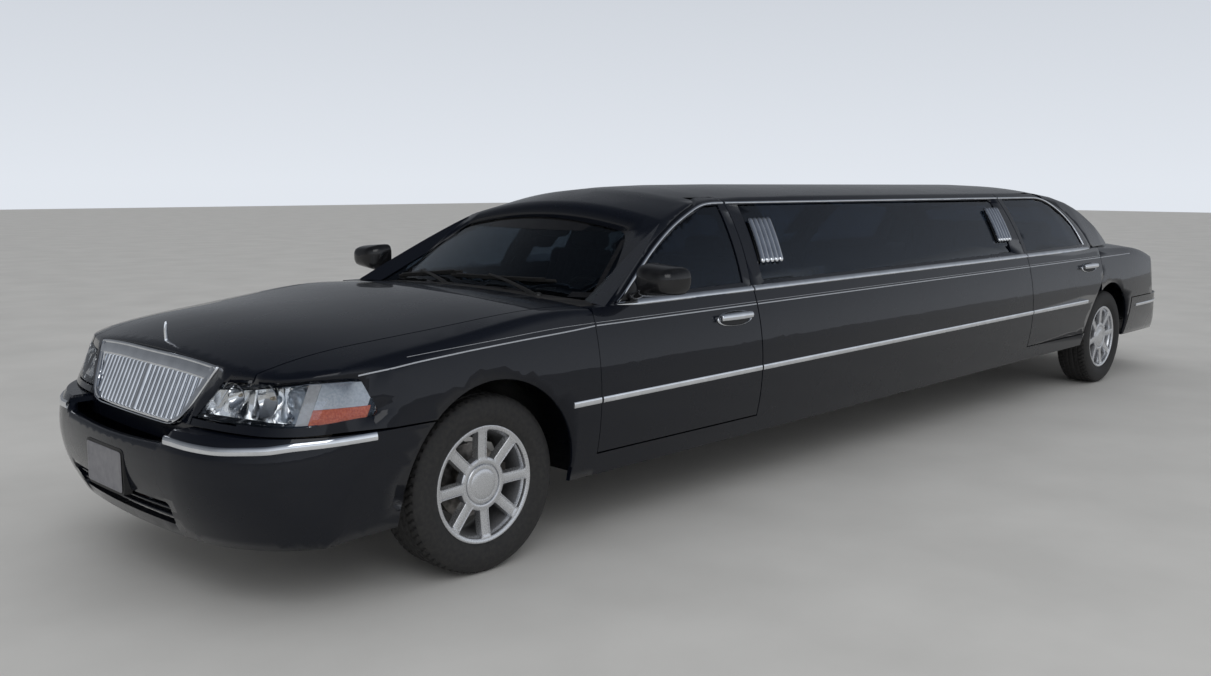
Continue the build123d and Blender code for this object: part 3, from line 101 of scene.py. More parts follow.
steel_coating = surface("chassis_coating", (0.011, 0.011, 0.012), (0.035, 0.033, 0.031), 9.0, (0.45, 0.8), 0.25)
cast_iron = surface("cast_iron", (0.055, 0.052, 0.05), (0.16, 0.145, 0.13), 34.0, (0.5, 0.85), 0.6, 0.6)
for node in ("ladder_frame", "floor_pan", "cowl"):
    dress(node, steel_coating)

# Running gear: forged arms, cast knuckles and a cast axle casing, left bare and stained by the road. The
# exhaust is heat-tinted steel tube hung under the floor, and the drive shaft is drawn tube.
for node in ("front_suspension", "rear_axle", "left_knuckle", "right_knuckle", "engine_block"):
    dress(node, cast_iron)
dress("drive_shaft", surface("drawn_tube", (0.11, 0.11, 0.11), (0.26, 0.25, 0.24), 20.0, (0.35, 0.6), 0.1, 0.9,
                             (1, 12, 12)))
dress("exhaust", surface("heat_stained_steel", (0.16, 0.12, 0.09), (0.36, 0.33, 0.3), 6.0, (0.3, 0.6), 0.15, 0.9))

# Tyres: road tyres of black rubber, moulded with four circumferential grooves, cross-cut shoulder blocks
# and fine ribs on the sidewall. Each is seated on its rim and turns with it.
front_axle, rear_axle, axle_height = 3.1835, -2.8545, 0.351
sides = ((1, "left"), (-1, "right"))  # the sign of y, and the hand
wheels = {f"{end}_{hand}": (axle, side * half_track, side)
          for end, axle, half_track in (("front", front_axle, 0.805), ("rear", rear_axle, 0.830))
          for side, hand in sides}


def grid(rows, columns, round_rows=False, round_columns=False):
    """Quads of a grid of points: each joins a point, the next in its row, and the two beside them in the next row."""
    i = np.arange(rows if round_rows else rows - 1)[:, None]
    j = np.arange(columns if round_columns else columns - 1)[None, :]
    across, down = (j + 1) % columns, (i + 1) % rows
    corners = [i * columns + j, i * columns + across, down * columns + across, down * columns + j]
    return np.stack(np.broadcast_arrays(*corners), -1).reshape(-1, 4)


def piece(name, sheets, material, body, crease=0.7):
    """One mesh from point grids: seams merged, faces outwards, riding on a body. A bare grid is a tube; one in a tuple
    gives its own two closing flags."""
    points, quads, count = [], [], 0
    for sheet in sheets:
        sheet, *closing = sheet if isinstance(sheet, tuple) else (sheet, False, True)
        points.append(sheet.reshape(-1, 3))
        quads.append(grid(*sheet.shape[:2], *closing) + count)
        count += len(points[-1])
    mesh = bpy.data.meshes.new(name)
    mesh.from_pydata(np.concatenate(points), [], np.concatenate(quads))
    shell = bmesh.new()
    shell.from_mesh(mesh)
    bmesh.ops.remove_doubles(shell, verts=shell.verts, dist=1e-6)
    bmesh.ops.dissolve_degenerate(shell, edges=shell.edges, dist=1e-7)
    bmesh.ops.recalc_face_normals(shell, faces=shell.faces)
    shell.to_mesh(mesh)
    shell.free()
    mesh.shade_smooth()
    mesh.set_sharp_from_angle(angle=crease)
    mesh.materials.append(material)
    made = bpy.data.objects.new(name, mesh)
    bpy.context.scene.collection.objects.link(made)
    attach(made, body)
    return made


def curve_through(points, count):
    """Natural cubic spline through the points, its parameter the length of their chords, read at equal steps."""
    points = np.asarray(points, float)
    at = np.concatenate([[0], np.cumsum(np.linalg.norm(np.diff(points, axis=0), axis=1))])
    gap, rise = np.diff(at), np.diff(points, axis=0)
    size = len(points)
    system, right = np.eye(size), np.zeros_like(points)
    inside = np.arange(1, size - 1)
    system[inside, inside - 1], system[inside, inside], system[inside, inside + 1] = (
        gap[:-1], 2 * (gap[:-1] + gap[1:]), gap[1:])
    slopes = rise / gap[:, None]
    right[1:-1] = 6 * (slopes[1:] - slopes[:-1])
    bend = np.linalg.solve(system, right)
    where = np.linspace(0, at[-1], count)
    k = np.clip(np.searchsorted(at, where, side="right") - 1, 0, size - 2)
    a, b, h = (at[k + 1] - where)[:, None], (where - at[k])[:, None], gap[k][:, None]
    return ((bend[k] * a**3 + bend[k + 1] * b**3) / (6 * h) + (points[k] / h - bend[k] * h / 6) * a
            + (points[k + 1] / h - bend[k + 1] * h / 6) * b)


def round_turn(count):
    """Angles at equal steps, once round."""
    return np.arange(count) * 2 * np.pi / count


def turned(breadth, radius, place, angles):
    """A profile of (breadth outwards, radius) turned about a wheel's axle; both may be grids over the angles."""
    x, y, side = place
    angles = angles[:, None]
    return np.stack(np.broadcast_arrays(x + radius * np.sin(angles), y + side * breadth,
                                        axle_height + radius * np.cos(angles)), -1)


rubber = surface("tyre_rubber", (0.010, 0.010, 0.011), (0.028, 0.027, 0.026), 60.0, (0.55, 0.85), 0.2)
tread_half, groove_depth, tread_pitch = 0.086, 0.0075, 66
half_tread = np.linspace(0, tread_half, 27)
shoulder = curve_through([(0.086, 0.3478), (0.097, 0.3405), (0.1075, 0.3240), (0.1135, 0.2980), (0.1125, 0.2700),
                          (0.1045, 0.2470), (0.0975, 0.2345), (0.0925, 0.2285)], 22)[1:]
tyre_breadth = np.concatenate([-shoulder[::-1, 0], -half_tread[:0:-1], half_tread, shoulder[:, 0],
                               [0.080, 0.0, -0.080]])
crown = axle_height - 0.0032 * (half_tread / tread_half) ** 2.4
tyre_profile = np.concatenate([shoulder[::-1, 1], crown[:0:-1], crown, shoulder[:, 1], [0.2345, 0.2400, 0.2345]])
tyre_angles = round_turn(tread_pitch * 6)


def tread(breadth, angles):
    """How deep the tread is cut: four grooves round it, slanted cuts across the shoulders and shorter ones between."""
    w, turn = breadth[None, :], angles[:, None] * tread_pitch / (2 * np.pi)
    round_cut = sum(np.clip((0.0056 - np.abs(np.abs(w) - at)) / 0.0016, 0, 1) for at in (0.0185, 0.0520))
    slanted = np.mod(turn + w * 18 + 0.25 * (w > 0), 1.0)
    outer = np.clip((0.13 - np.abs(slanted - 0.5)) / 0.04, 0, 1) * (np.abs(w) > 0.057)
    inner = np.clip((0.10 - np.abs(slanted - 0.5)) / 0.04, 0, 1) * (np.abs(w) > 0.024) * (np.abs(w) < 0.047) * 0.6
    return groove_depth * np.clip(round_cut + outer + inner, 0, 1) * (np.abs(w) < 0.0955)


ribs = 0.0008 * (np.exp(-((tyre_profile - 0.263) / 0.0016) ** 2) + np.exp(-((tyre_profile - 0.320) / 0.0018) ** 2))
for name, place in wheels.items():
    radius = tyre_profile[None, :] - tread(tyre_breadth, tyre_angles) * (tyre_profile > 0.33)
    breadth = (tyre_breadth + np.sign(tyre_breadth) * ribs)[None, :]
    tyre = piece(f"{name}_road_tyre", [(turned(breadth, radius, place, tyre_angles), True, True)], rubber,
                 f"{name}_wheel")
    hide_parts(f"{name}_tyre")

# Wheels: cast alloy, painted silver all over, with eight broad parallel spokes that run flush from a round hub into
# the lip. Each has a shallow panel between two fine grooves; a plain domed cap is pressed into the hub.
bright_alloy = surface("silver_alloy", (0.56, 0.57, 0.59), (0.72, 0.73, 0.75), 420.0, (0.20, 0.34), 0.05, 0.85)
# The same silver made darker: painted shade, put on every face of the rim set deeper than the spokes' backs.
recess_shade_alloy = surface("alloy_painted_shade", (0.24, 0.245, 0.26), (0.33, 0.335, 0.35), 160.0, (0.35, 0.5), 0.08, 0.7)
disc_steel = surface("brake_disc_steel", (0.16, 0.15, 0.14), (0.34, 0.32, 0.30), 46.0, (0.3, 0.55), 0.1, 1.0)
round_lip = curve_through([(0.0965, 0.2195), (0.0980, 0.2255), (0.0972, 0.2303), (0.0945, 0.2312),
                           (0.0925, 0.2280)], 9)
half_well = np.array([(0.0905, 0.2205), (0.0700, 0.2200), (0.0350, 0.2060)])
inside = [(-0.0930, 0.2170), (-0.0600, 0.2050), (-0.0200, 0.1960), (0.0300, 0.1970), (0.0700, 0.2045),
          (0.0800, 0.2120), (0.0890, 0.2118), (0.0935, 0.2135), (0.0955, 0.2165)]
barrel = np.concatenate([round_lip, half_well, half_well[::-1] * (-1, 1), round_lip[::-1] * (-1, 1), inside])
hub = np.array([(0.0905, 0.0), (0.0903, 0.020), (0.0895, 0.040), (0.0880, 0.0560), (0.0868, 0.0585), (0.0858, 0.0600),
                (0.0862, 0.0620), (0.0866, 0.0660), (0.0856, 0.0740), (0.0830, 0.0775), (0.0790, 0.0788),
                (0.0790, 0.0806), (0.0842, 0.0820), (0.0858, 0.0850), (0.0862, 0.0930), (0.0850, 0.1000),
                (0.0815, 0.1045), (0.0760, 0.1060), (0.0480, 0.1040), (0.0300, 0.0900), (0.0300, 0.0)])
disc = np.array([(-0.0060, 0.062), (-0.0060, 0.1475), (-0.0070, 0.148), (-0.0150, 0.148), (-0.0160, 0.143),
                 (-0.0200, 0.143), (-0.0210, 0.148), (-0.0290, 0.148), (-0.0300, 0.1475), (-0.0300, 0.078),
                 (-0.0100, 0.070), (0.0300, 0.066), (0.0300, 0.055), (-0.0040, 0.055)])
full_turn, spokes, spoke_back = round_turn(144), 8, 0.064
spoke_reach = np.linspace(0.090, 0.2165, 30)
# Half across a spoke, from its middle over its face to its back edge: share of the half width, depth below the face
half_section = np.array([(0.0, 0.0014), (0.62, 0.0018), (0.70, 0.0022), (0.74, 0.0036), (0.775, 0.0022), (0.80, 0.0),
                         (0.92, 0.0), (0.97, 0.0010), (1.0, 0.0030), (1.06, 0.034)])
spoke_section = np.concatenate([half_section[:0:-1] * (-1, 1), half_section])


def spoke(place, start):
    """A spoke as a closed tube: parallel sides that flare into the hub and the lip, a dished face with a shallow
    panel whose grooves fade out at both ends."""
    share = (spoke_reach - spoke_reach[0]) / (spoke_reach[-1] - spoke_reach[0])
    half = 0.0218 + 0.010 * np.clip(1 - share / 0.16, 0, 1) ** 2 + 0.007 * np.clip((share - 0.90) / 0.10, 0, 1) ** 2
    face = 0.0858 + 0.0095 * share**1.6
    fade = np.clip(np.minimum((share - 0.06) / 0.06, (0.93 - share) / 0.03), 0, 1)[:, None]
    deep = spoke_section[:, 1]
    depth = np.where((deep < 0.02) & (np.abs(spoke_section[:, 0]) < 0.79), deep * fade, deep)
    across = half[:, None] * spoke_section[:, 0]
    lengthways = np.sqrt(spoke_reach[:, None] ** 2 - across**2)
    x, y, side = place
    ahead = lengthways * np.sin(start) + across * np.cos(start)
    above = lengthways * np.cos(start) - across * np.sin(start)
    return np.stack([x + ahead, y + side * (face[:, None] - depth), axle_height + above], -1)


def closed_tube(rings):
    """A tube of rings closed by a point at the middle of each end ring."""
    first, last = (np.broadcast_to(rings[k].mean(axis=0), rings[k].shape) for k in (0, -1))
    return np.concatenate([first[None], rings, last[None]])


for name, place in wheels.items():
    wheel_body = f"{name}_wheel"
    turn = {"front_left": 0.03, "rear_left": 0.12}.get(name, 0.3)
    starts = turn + round_turn(spokes)
    rim = piece(f"{name}_alloy_rim", [(turned(*barrel.T[:, None, :], place, full_turn), True, True)]
                + [closed_tube(spoke(place, start)) for start in starts]
                + [(turned(*hub.T[:, None, :], place, full_turn), True, False)], bright_alloy, wheel_body, 0.5)
    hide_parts(f"{name}_rim")
    # Faces deeper than the spokes' backs take the darker grey, as painted shade in the wheel's recesses.
    rim.data.materials.append(recess_shade_alloy)
    centres = np.empty(len(rim.data.polygons) * 3)
    rim.data.polygons.foreach_get("center", centres)
    depth_in = (centres.reshape(-1, 3)[:, 1] - place[1]) * place[2]
    rim.data.polygons.foreach_set("material_index", (depth_in < spoke_back).astype(np.int32))
    piece(f"{name}_brake_disc", [(turned(*disc.T[:, None, :], place, full_turn), True, True)], disc_steel, wheel_body)
    valve_turn = turn + np.pi / spokes
    stem = np.array([(0.0, 0.0), (0.0, 0.0046), (0.012, 0.0046), (0.016, 0.0036), (0.030, 0.0034), (0.033, 0.0028),
                     (0.033, 0.0)])
    ring = round_turn(16)[:, None]
    x, y, side = place
    foot = np.array([x + 0.192 * np.sin(valve_turn), y + side * 0.055, axle_height + 0.192 * np.cos(valve_turn)])
    around = np.stack(np.broadcast_arrays(stem[:, 1] * np.sin(ring), side * stem[:, 0], stem[:, 1] * np.cos(ring)), -1)
    piece(f"{name}_valve", [(foot + around, True, False)], rubber, wheel_body)


# Painted body: pressed steel panels sprayed near-black with a fine blue flake and clear-coated, then polished. The
# CAD panels stay; welding their loose triangles and smoothing shallow edges lets the lacquer run unbroken.
paint, tree, lacquer = blank_material("black_lacquer", {"Coat Weight": 0.75, "Coat IOR": 1.42,
                                                        "Coat Roughness": 0.02, "Specular IOR Level": 0.08})
place_of = add(tree, "TexCoord")
flake = add(tree, "TexVoronoi", {"Scale": 2600.0})
flake_tone = ramp(tree, (0, (0.0022, 0.0026, 0.0040)), (1, (0.0055, 0.0080, 0.0160)))
haze = add(tree, "TexNoise", {"Scale": 3.0, "Detail": 4.0})
haze_range = add(tree, "MapRange", {"To Min": 0.22, "To Max": 0.34})
join(tree, (place_of, "Object", flake, "Vector"), (place_of, "Object", haze, "Vector"),
     (flake, "Distance", flake_tone, "Fac"), (flake_tone, "Color", lacquer, "Base Color"),
     (haze, "Fac", haze_range, "Value"), (haze_range, "Result", lacquer, "Roughness"))
weld_reach, fold_angle = 0.00002, 0.56


def polish(node, material):
    """Dresses a CAD panel, welds its loose triangles and smooths every edge shallower than a fold."""
    dress(node, material)
    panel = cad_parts[node]
    panel.modifiers.new("weld", "WELD").merge_threshold = weld_reach
    with bpy.context.temp_override(object=panel, active_object=panel, selected_objects=[panel],
                                   selected_editable_objects=[panel]):
        bpy.ops.object.shade_auto_smooth(angle=fold_angle)


painted = ["roof", "side_frames", "front_fenders", "rear_body", "front_bumper", "rear_bumper", "hood", "boot_lid",
           "front_left_door", "front_right_door", "rear_left_door", "rear_right_door"]
for node in painted:
    polish(node, paint)

# Glass: laminated windscreen and privacy side glass, tinted blue-grey through its thickness and set flush in its
# opening. It has no frame of its own and moves with the door that holds it.


def tinted(name, tint, rough, through=1.0):
    """Tinted glass: a share of the light passes through and is coloured, with a faint wipe haze in its roughness."""
    material, tree, shader = blank_material(name, {"Transmission Weight": through, "IOR": 1.45,
                                                   "Specular Tint": (0.62, 0.78, 1.0, 1.0)})
    at = add(tree, "TexCoord")
    wipe = add(tree, "TexNoise", {"Scale": 5.0})
    tone = ramp(tree, (0, [0.85 * c for c in tint]), (1, tint))
    spread = add(tree, "MapRange", {"To Min": rough[0], "To Max": rough[1]})
    join(tree, (at, "Object", wipe, "Vector"), (wipe, "Fac", tone, "Fac"), (tone, "Color", shader, "Base Color"),
         (wipe, "Fac", spread, "Value"), (spread, "Result", shader, "Roughness"))
    return material


privacy_glass = tinted("privacy_glass", (0.10, 0.135, 0.19), (0.0, 0.03))
screen_glass = tinted("windscreen_glass", (0.42, 0.47, 0.48), (0.0, 0.02))
for node in ("stretch_glass", "front_left_glass", "front_right_glass", "rear_left_glass", "rear_right_glass",
             "rear_window"):
    polish(node, privacy_glass)
polish("windscreen", screen_glass)

# Side trim: a rolled chrome moulding clipped along the widest line of the body, from the front wheel to the rear
# one. It is cut at every door gap, and each length rides on the panel that it lies on.
front_lead, front_trail, rear_lead, rear_trail = 2.6285, 1.5335, -1.4765, -2.6865  # edges of the doors
half_shut, rows_a_metre = 0.0055, 30
widest, sill_inset, sill_depth, shoulder_radius = 0.985, 0.053, 0.345, 1.08
rail_y, rail_z, glass_radius = 0.612, 1.433, 1.70
chrome = surface("chrome", (0.74, 0.76, 0.79), (0.88, 0.90, 0.93), 14.0, (0.03, 0.10), 0.0, 1.0)


def along(front, rear, x):
    """A height that runs straight from the front door's leading edge to the rear door's trailing edge."""
    return front + (rear - front) * (front_lead - x) / (front_lead - rear_trail)


def side_breadth(x, z):
    """Half width of the lower body: a circle of 1.08 m above the widest line, and one through the sill below it."""
    rise = z - along(0.292, 0.330, x) - sill_depth
    radius = np.where(rise > 0, shoulder_radius, (sill_inset**2 + sill_depth**2) / (2 * sill_inset))
    return widest - radius + np.sqrt(radius**2 - rise**2)


def belt_height(x):
    """The height of the belt line, where the glass meets the body."""
    return along(0.992, 1.034, x)


def glasshouse_breadth(x, z, pull=0.0):
    """Half width above the belt: a circle of 1.70 m from just inside the belt line up to the roof rail."""
    belt = belt_height(x)
    foot, rail = side_breadth(x, belt) - 0.014 - pull, rail_y - 0.45 * pull
    half_y, half_z = (rail - foot) / 2, (rail_z - belt) / 2
    half = np.hypot(half_y, half_z)
    away = np.sqrt(glass_radius**2 - half**2)
    centre_y, centre_z = (foot + rail) / 2 - half_z * away / half, (belt + rail_z) / 2 + half_y * away / half
    return centre_y + np.sqrt(glass_radius**2 - (z - centre_z) ** 2)


def square_to(path, out):
    """Unit vectors at each point of a path: outwards, squared to the path's direction, and across both."""
    ahead = np.gradient(path, axis=0)
    ahead /= np.linalg.norm(ahead, axis=1)[:, None]
    out = out - (out * ahead).sum(1)[:, None] * ahead
    out /= np.linalg.norm(out, axis=1)[:, None]
    return out[:, None], np.cross(out, ahead)[:, None]


def strip(path, out, width, height, lift=0.0, sink=0.0015):
    """A low domed strip: a closed half-round section carried along a path, its flat side towards the panel."""
    out, across = square_to(path, out)
    width, height = (np.broadcast_to(value, len(path))[:, None] for value in (width, height))
    angles = np.linspace(0, np.pi, 9)
    low = height * 0 - sink
    sideways = np.concatenate([np.cos(angles) * width / 2, -width / 2, width / 2], axis=1)[..., None]
    upwards = np.concatenate([np.sin(angles) ** 0.6 * height + lift, low, low], axis=1)[..., None]
    return closed_tube(path[:, None] + across * sideways + out * upwards)


def slope_up(x, z, breadth, probe=0.002):
    """How fast the half width changes with height, from a little below a point to a little above it."""
    return (breadth(x, z + probe) - breadth(x, z - probe)) / (2 * probe)


def on_side(x, z, side, breadth, proud=0.0):
    """Points and outward normals on the body side, from the half width as a function of place and height."""
    y = breadth(x, z)
    out = np.stack([np.zeros_like(y), np.full_like(y, float(side)), -slope_up(x, z, breadth)], -1)
    out /= np.linalg.norm(out, axis=1)[:, None]
    return np.stack([x, side * y, z], -1) + proud * out, out


def carrier(part, hand):
    """The body that a length of trim rides on: the door it is named after, or the car."""
    return part.replace("_", f"_{hand}_") if "door" in part else "car"


spans = {"fender": (2.79, front_lead + half_shut), "front_door": (front_lead - half_shut, front_trail + half_shut),
         "stretch": (front_trail - half_shut, rear_lead + half_shut), "rear_door": (rear_lead - half_shut, -2.395)}
for side, hand in sides:
    for part, (start, end) in spans.items():
        x = np.linspace(start, end, max(8, int(abs(start - end) * rows_a_metre)))
        path, out = on_side(x, along(0.618, 0.660, x), side, side_breadth)
        piece(f"{hand}_{part}_moulding", [strip(path, out, 0.026, 0.006)], chrome, carrier(part, hand))


# Grille: a die-cast frame, thick along its top and thin at its rounded foot, chromed and polished, round rows of
# close upright half-round bars and one wide bar in the middle. A black moulded screen stands behind the bars.


def rounded(corners, reach, count):
    """Closed outline at equal steps: straight sides, each corner a parabola that starts and ends at a reach from it."""
    corners = np.asarray(corners, float)
    reach = np.broadcast_to(reach, len(corners))[:, None]
    back, ahead = np.roll(corners, 1, axis=0) - corners, np.roll(corners, -1, axis=0) - corners
    start = corners + back / np.linalg.norm(back, axis=1)[:, None] * reach
    end = corners + ahead / np.linalg.norm(ahead, axis=1)[:, None] * reach
    t = np.linspace(0, 1, 9)[:, None, None]
    bends = ((1 - t) ** 2 * start + 2 * t * (1 - t) * corners + t**2 * end).transpose(1, 0, 2).reshape(-1, 2)
    bends = np.vstack([bends, bends[:1]])
    at = np.concatenate([[0], np.cumsum(np.linalg.norm(np.diff(bends, axis=0), axis=1))])
    where = np.arange(count) * at[-1] / count
    return np.stack([np.interp(where, at, bends[:, k]) for k in (0, 1)], -1)


def oblong(low, high, reach, count):
    """A rounded rectangle between two opposite corners."""
    return rounded([low, (high[0], low[1]), high, (low[0], high[1])], reach, count)


def inwards(outline, by):
    """An outline moved in across its own direction, by one width or by a width for each point."""
    ahead = np.roll(outline, -1, axis=0) - np.roll(outline, 1, axis=0)
    across = np.stack([-ahead[:, 1], ahead[:, 0]], -1) / np.linalg.norm(ahead, axis=1)[:, None]
    turning = np.sign((np.roll(outline, -1, axis=0)[:, 0] * outline[:, 1] - outline[:, 0]
                       * np.roll(outline, -1, axis=0)[:, 1]).sum())
    return outline - turning * across * np.broadcast_to(by, len(outline))[:, None]


nose_slope, slope_foot, grille_half = np.tan(np.radians(24)), 0.655, 0.44


def nose_x(y, z):
    """Place of the nose: an arc in plan that tightens outside the grille, leaning back 24 degrees above z .655."""
    wide = np.abs(y)
    outside = np.maximum(wide - grille_half, 0)
    plan = 0.962 - np.minimum(wide, grille_half) ** 2 / 13.83 - 0.0636 * outside - 0.4653 * outside**2
    return front_axle + plan - nose_slope * np.maximum(z - slope_foot, 0)


def on_nose(flat, out):
    """Points (y, z) of a front view laid on the nose, raised by a height along its lean."""
    return np.stack([nose_x(flat[..., 0], flat[..., 1]) + out * 0.93, flat[..., 0], flat[..., 1] + out * 0.36], -1)


def plate_on(outline, steps, lay, middle=None):
    """A closed plate: rings of an outline shrunk to a share about its middle, each laid at its own height."""
    middle = outline.mean(axis=0) if middle is None else np.array(middle)
    return np.stack([lay(middle + share * (outline - middle), lift) for share, lift in steps])


def two_faces(front, back, rings=10):
    """The steps of a thin closed plate: out over its front face, and in again over its back face."""
    shares = np.linspace(0, 1, rings)
    return [(share, front) for share in shares] + [(share, back) for share in shares[::-1]]


grille_edge = rounded([(-0.378, 0.638), (0.378, 0.638), (0.498, 0.8605), (0.30, 0.8735), (-0.30, 0.8735),
                       (-0.498, 0.8605)], [0.10, 0.10, 0.016, 0.15, 0.15, 0.016], 264)
edge_run = np.roll(grille_edge, -1, axis=0) - np.roll(grille_edge, 1, axis=0)
facing_up = edge_run[:, 0] / np.linalg.norm(edge_run, axis=1)
frame_width = 0.020 + 0.036 * np.clip((0.75 - facing_up) / 0.9, 0, 1) ** 0.8
grille_section = [(0.0, -0.046), (0.0, 0.004), (0.03, 0.0085), (0.09, 0.0110), (0.17, 0.0105), (0.22, 0.0085),
                  (0.50, 0.0110), (0.86, 0.0100), (0.95, 0.0075), (1.0, 0.0020), (1.0, -0.046)]
ring_rows = [on_nose(inwards(grille_edge, frame_width * share), height) for share, height in grille_section]
grille_frame = piece("grille_frame", [(np.stack(ring_rows), True, True)], chrome, "hood", 0.6)
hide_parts("grille")

inner_edge = inwards(grille_edge, frame_width)
right_side = inner_edge[inner_edge[:, 0] > 0.0]
lower = right_side[right_side[:, 1] < 0.79]
lower = lower[np.argsort(lower[:, 0])]
bar_sheets = []
bar_places = [0.0] + [side * (0.0445 + 0.0352 * number) for number in range(11) for side in (-1, 1)]
for place in bar_places:
    foot = np.interp(abs(place), lower[:, 0], lower[:, 1]) - 0.008
    z = np.linspace(foot, 0.822, 26)
    wide, deep = (0.036, 0.020) if place == 0 else (0.0222, 0.0165)
    bar_line = np.stack([np.full_like(z, place), z], -1)
    path = on_nose(bar_line, -0.014)
    out = on_nose(bar_line, 0.0) - path
    bar_sheets.append(strip(path, out, wide, deep, 0.0, 0.012))
piece("grille_bars", bar_sheets, chrome, "hood", 0.9)

black_plastic = surface("moulded_black_plastic", (0.012, 0.012, 0.013), (0.028, 0.028, 0.029), 260.0, (0.45, 0.65),
                        0.25)
piece("grille_screen", [plate_on(inwards(grille_edge, frame_width * 0.7), two_faces(-0.030, -0.036), on_nose)],
      black_plastic, "hood")

# Hood ornament: a slim polished blade standing on a small foot at the nose of the hood, pot metal under chrome. It
# is left plain. Its rings are given from the foot up: height, length, thickness and how far the middle lies ahead.
blade_sizes = [(0.874, 0.070, 0.020, 0.0), (0.8865, 0.066, 0.019, 0.0), (0.8905, 0.030, 0.012, 0.0),
               (0.896, 0.016, 0.0080, 0.001), (0.910, 0.0155, 0.0068, 0.002), (0.940, 0.0150, 0.0060, 0.003),
               (0.962, 0.0130, 0.0052, 0.002), (0.9715, 0.0085, 0.0040, 0.001), (0.9745, 0.0030, 0.0020, 0.0)]
turn = round_turn(32)
blade_rows = [np.stack([front_axle + 0.816 + shift + wide / 2 * np.cos(turn), thick / 2 * np.sin(turn),
                        np.full(32, z)], -1) for z, wide, thick, shift in blade_sizes]
piece("hood_ornament", [closed_tube(np.stack(blade_rows))], chrome, "hood", 0.9)

# Bumper trim: two pressed chrome strips that end either side of the grille, a blank grey number plate on a black
# bracket, a black moulded screen behind the lower intake and its two thin blades.


def plan_run(points, count):
    """Plan points (x from the front axle, y) joined by a smooth curve and read at equal steps."""
    return curve_through([(front_axle + x, y) for x, y in points], count)


def bumper_back(z):
    """How far the bumper's face lies behind its plan curve at a height: none at z .53, more above and below."""
    heights = (0.180, 0.300, 0.420, 0.530, 0.610, 0.680)
    return np.interp(z, heights, (0.118, 0.062, 0.014, 0.0, 0.012, 0.070))


strip_line = [(1.0372, 0.4340, 0.6185), (1.0315, 0.4700, 0.6175), (1.0242, 0.5200, 0.6150), (1.0108, 0.5760, 0.6120),
              (0.9925, 0.6300, 0.6100), (0.9703, 0.6800, 0.6090), (0.9416, 0.7300, 0.6110), (0.9105, 0.7750, 0.6140),
              (0.8600, 0.8331, 0.6185), (0.8300, 0.8589, 0.6235), (0.8000, 0.8809, 0.6275), (0.7600, 0.9056, 0.6305),
              (0.7000, 0.9336, 0.6335), (0.6400, 0.9525, 0.6360), (0.5800, 0.9671, 0.6385), (0.5350, 0.9759, 0.6400)]
for side, hand in sides:
    path = curve_through(strip_line, 150) + (front_axle, 0, 0)
    ahead = np.gradient(path, axis=0)
    out = np.stack([ahead[:, 1], -ahead[:, 0], np.full(150, 0.0008)], -1)
    piece(f"{hand}_bumper_strip", [strip(path * (1, side, 1), out * (1, side, 1), 0.030, 0.0085, 0.0, 0.004)],
          chrome, "car")

plate_half = 0.1525
plate_outline = oblong((-plate_half, 0.380), (plate_half, 0.532), 0.012, 96)
plate_grey = surface("blank_plate", (0.20, 0.20, 0.22), (0.27, 0.27, 0.29), 30.0, (0.35, 0.5), 0.08, 0.3)
plate_x = front_axle + 1.0735


def upright(place):
    """Lays points (y, z) of a front view at the place along the car that a rule gives for y, z and a height."""
    return lambda flat, lift: np.stack([place(flat[:, 0], flat[:, 1], lift), flat[:, 0], flat[:, 1]], -1)


piece("plate_bracket", [plate_on(inwards(plate_outline, -0.011), two_faces(0.0035, -0.030),
                                 upright(lambda y, z, lift: plate_x + lift - 0.11 * y**2 * (lift > 0)))],
      black_plastic, "car", 0.5)
raised_rim = [(0.0, 0.0050), (0.45, 0.0050), (0.88, 0.0050), (0.91, 0.0060), (0.935, 0.0066), (0.96, 0.0060),
              (1.0, 0.0048)]
plate_steps = raised_rim + [(share, 0.0038) for share, _ in raised_rim[::-1]]
piece("blank_number_plate", [plate_on(plate_outline, plate_steps, upright(lambda y, z, lift: plate_x + lift + 0 * y))],
      plate_grey, "car", 0.6)

intake = rounded([(-0.425, 0.297), (0.425, 0.297), (0.45, 0.397), (-0.45, 0.397)], 0.02, 120)
piece("intake_mesh", [plate_on(intake, two_faces(0.955, 0.945),
                               upright(lambda y, z, lift: front_axle + lift - y**2 / 10))],
      black_plastic, "car")
blades = []
for z in (0.331, 0.363):
    y = np.linspace(-0.43, 0.43, 60)
    path = np.stack([front_axle + 1.0745 - y**2 / 7.8 - bumper_back(z) - 0.016, y, np.full(60, z)], -1)
    out = np.stack([np.ones(60), y / 3.9, np.zeros(60)], -1)
    blades.append(strip(path, out, 0.011, 0.010, 0.0, 0.012))
piece("intake_blades", blades, paint, "car")

# Panel under the grille: a painted moulding that closes the space between the grille's rounded foot and the dip in
# the bumper's top edge. It hangs from the front panel, well back from the bumper's face.
apron_edge = rounded([(-0.46, 0.575), (0.46, 0.575), (0.515, 0.668), (-0.515, 0.668)], 0.03, 120)
piece("grille_apron", [plate_on(apron_edge, two_faces(-0.012, -0.020),
                                upright(lambda y, z, lift: nose_x(y, z) + lift))], paint, "car")


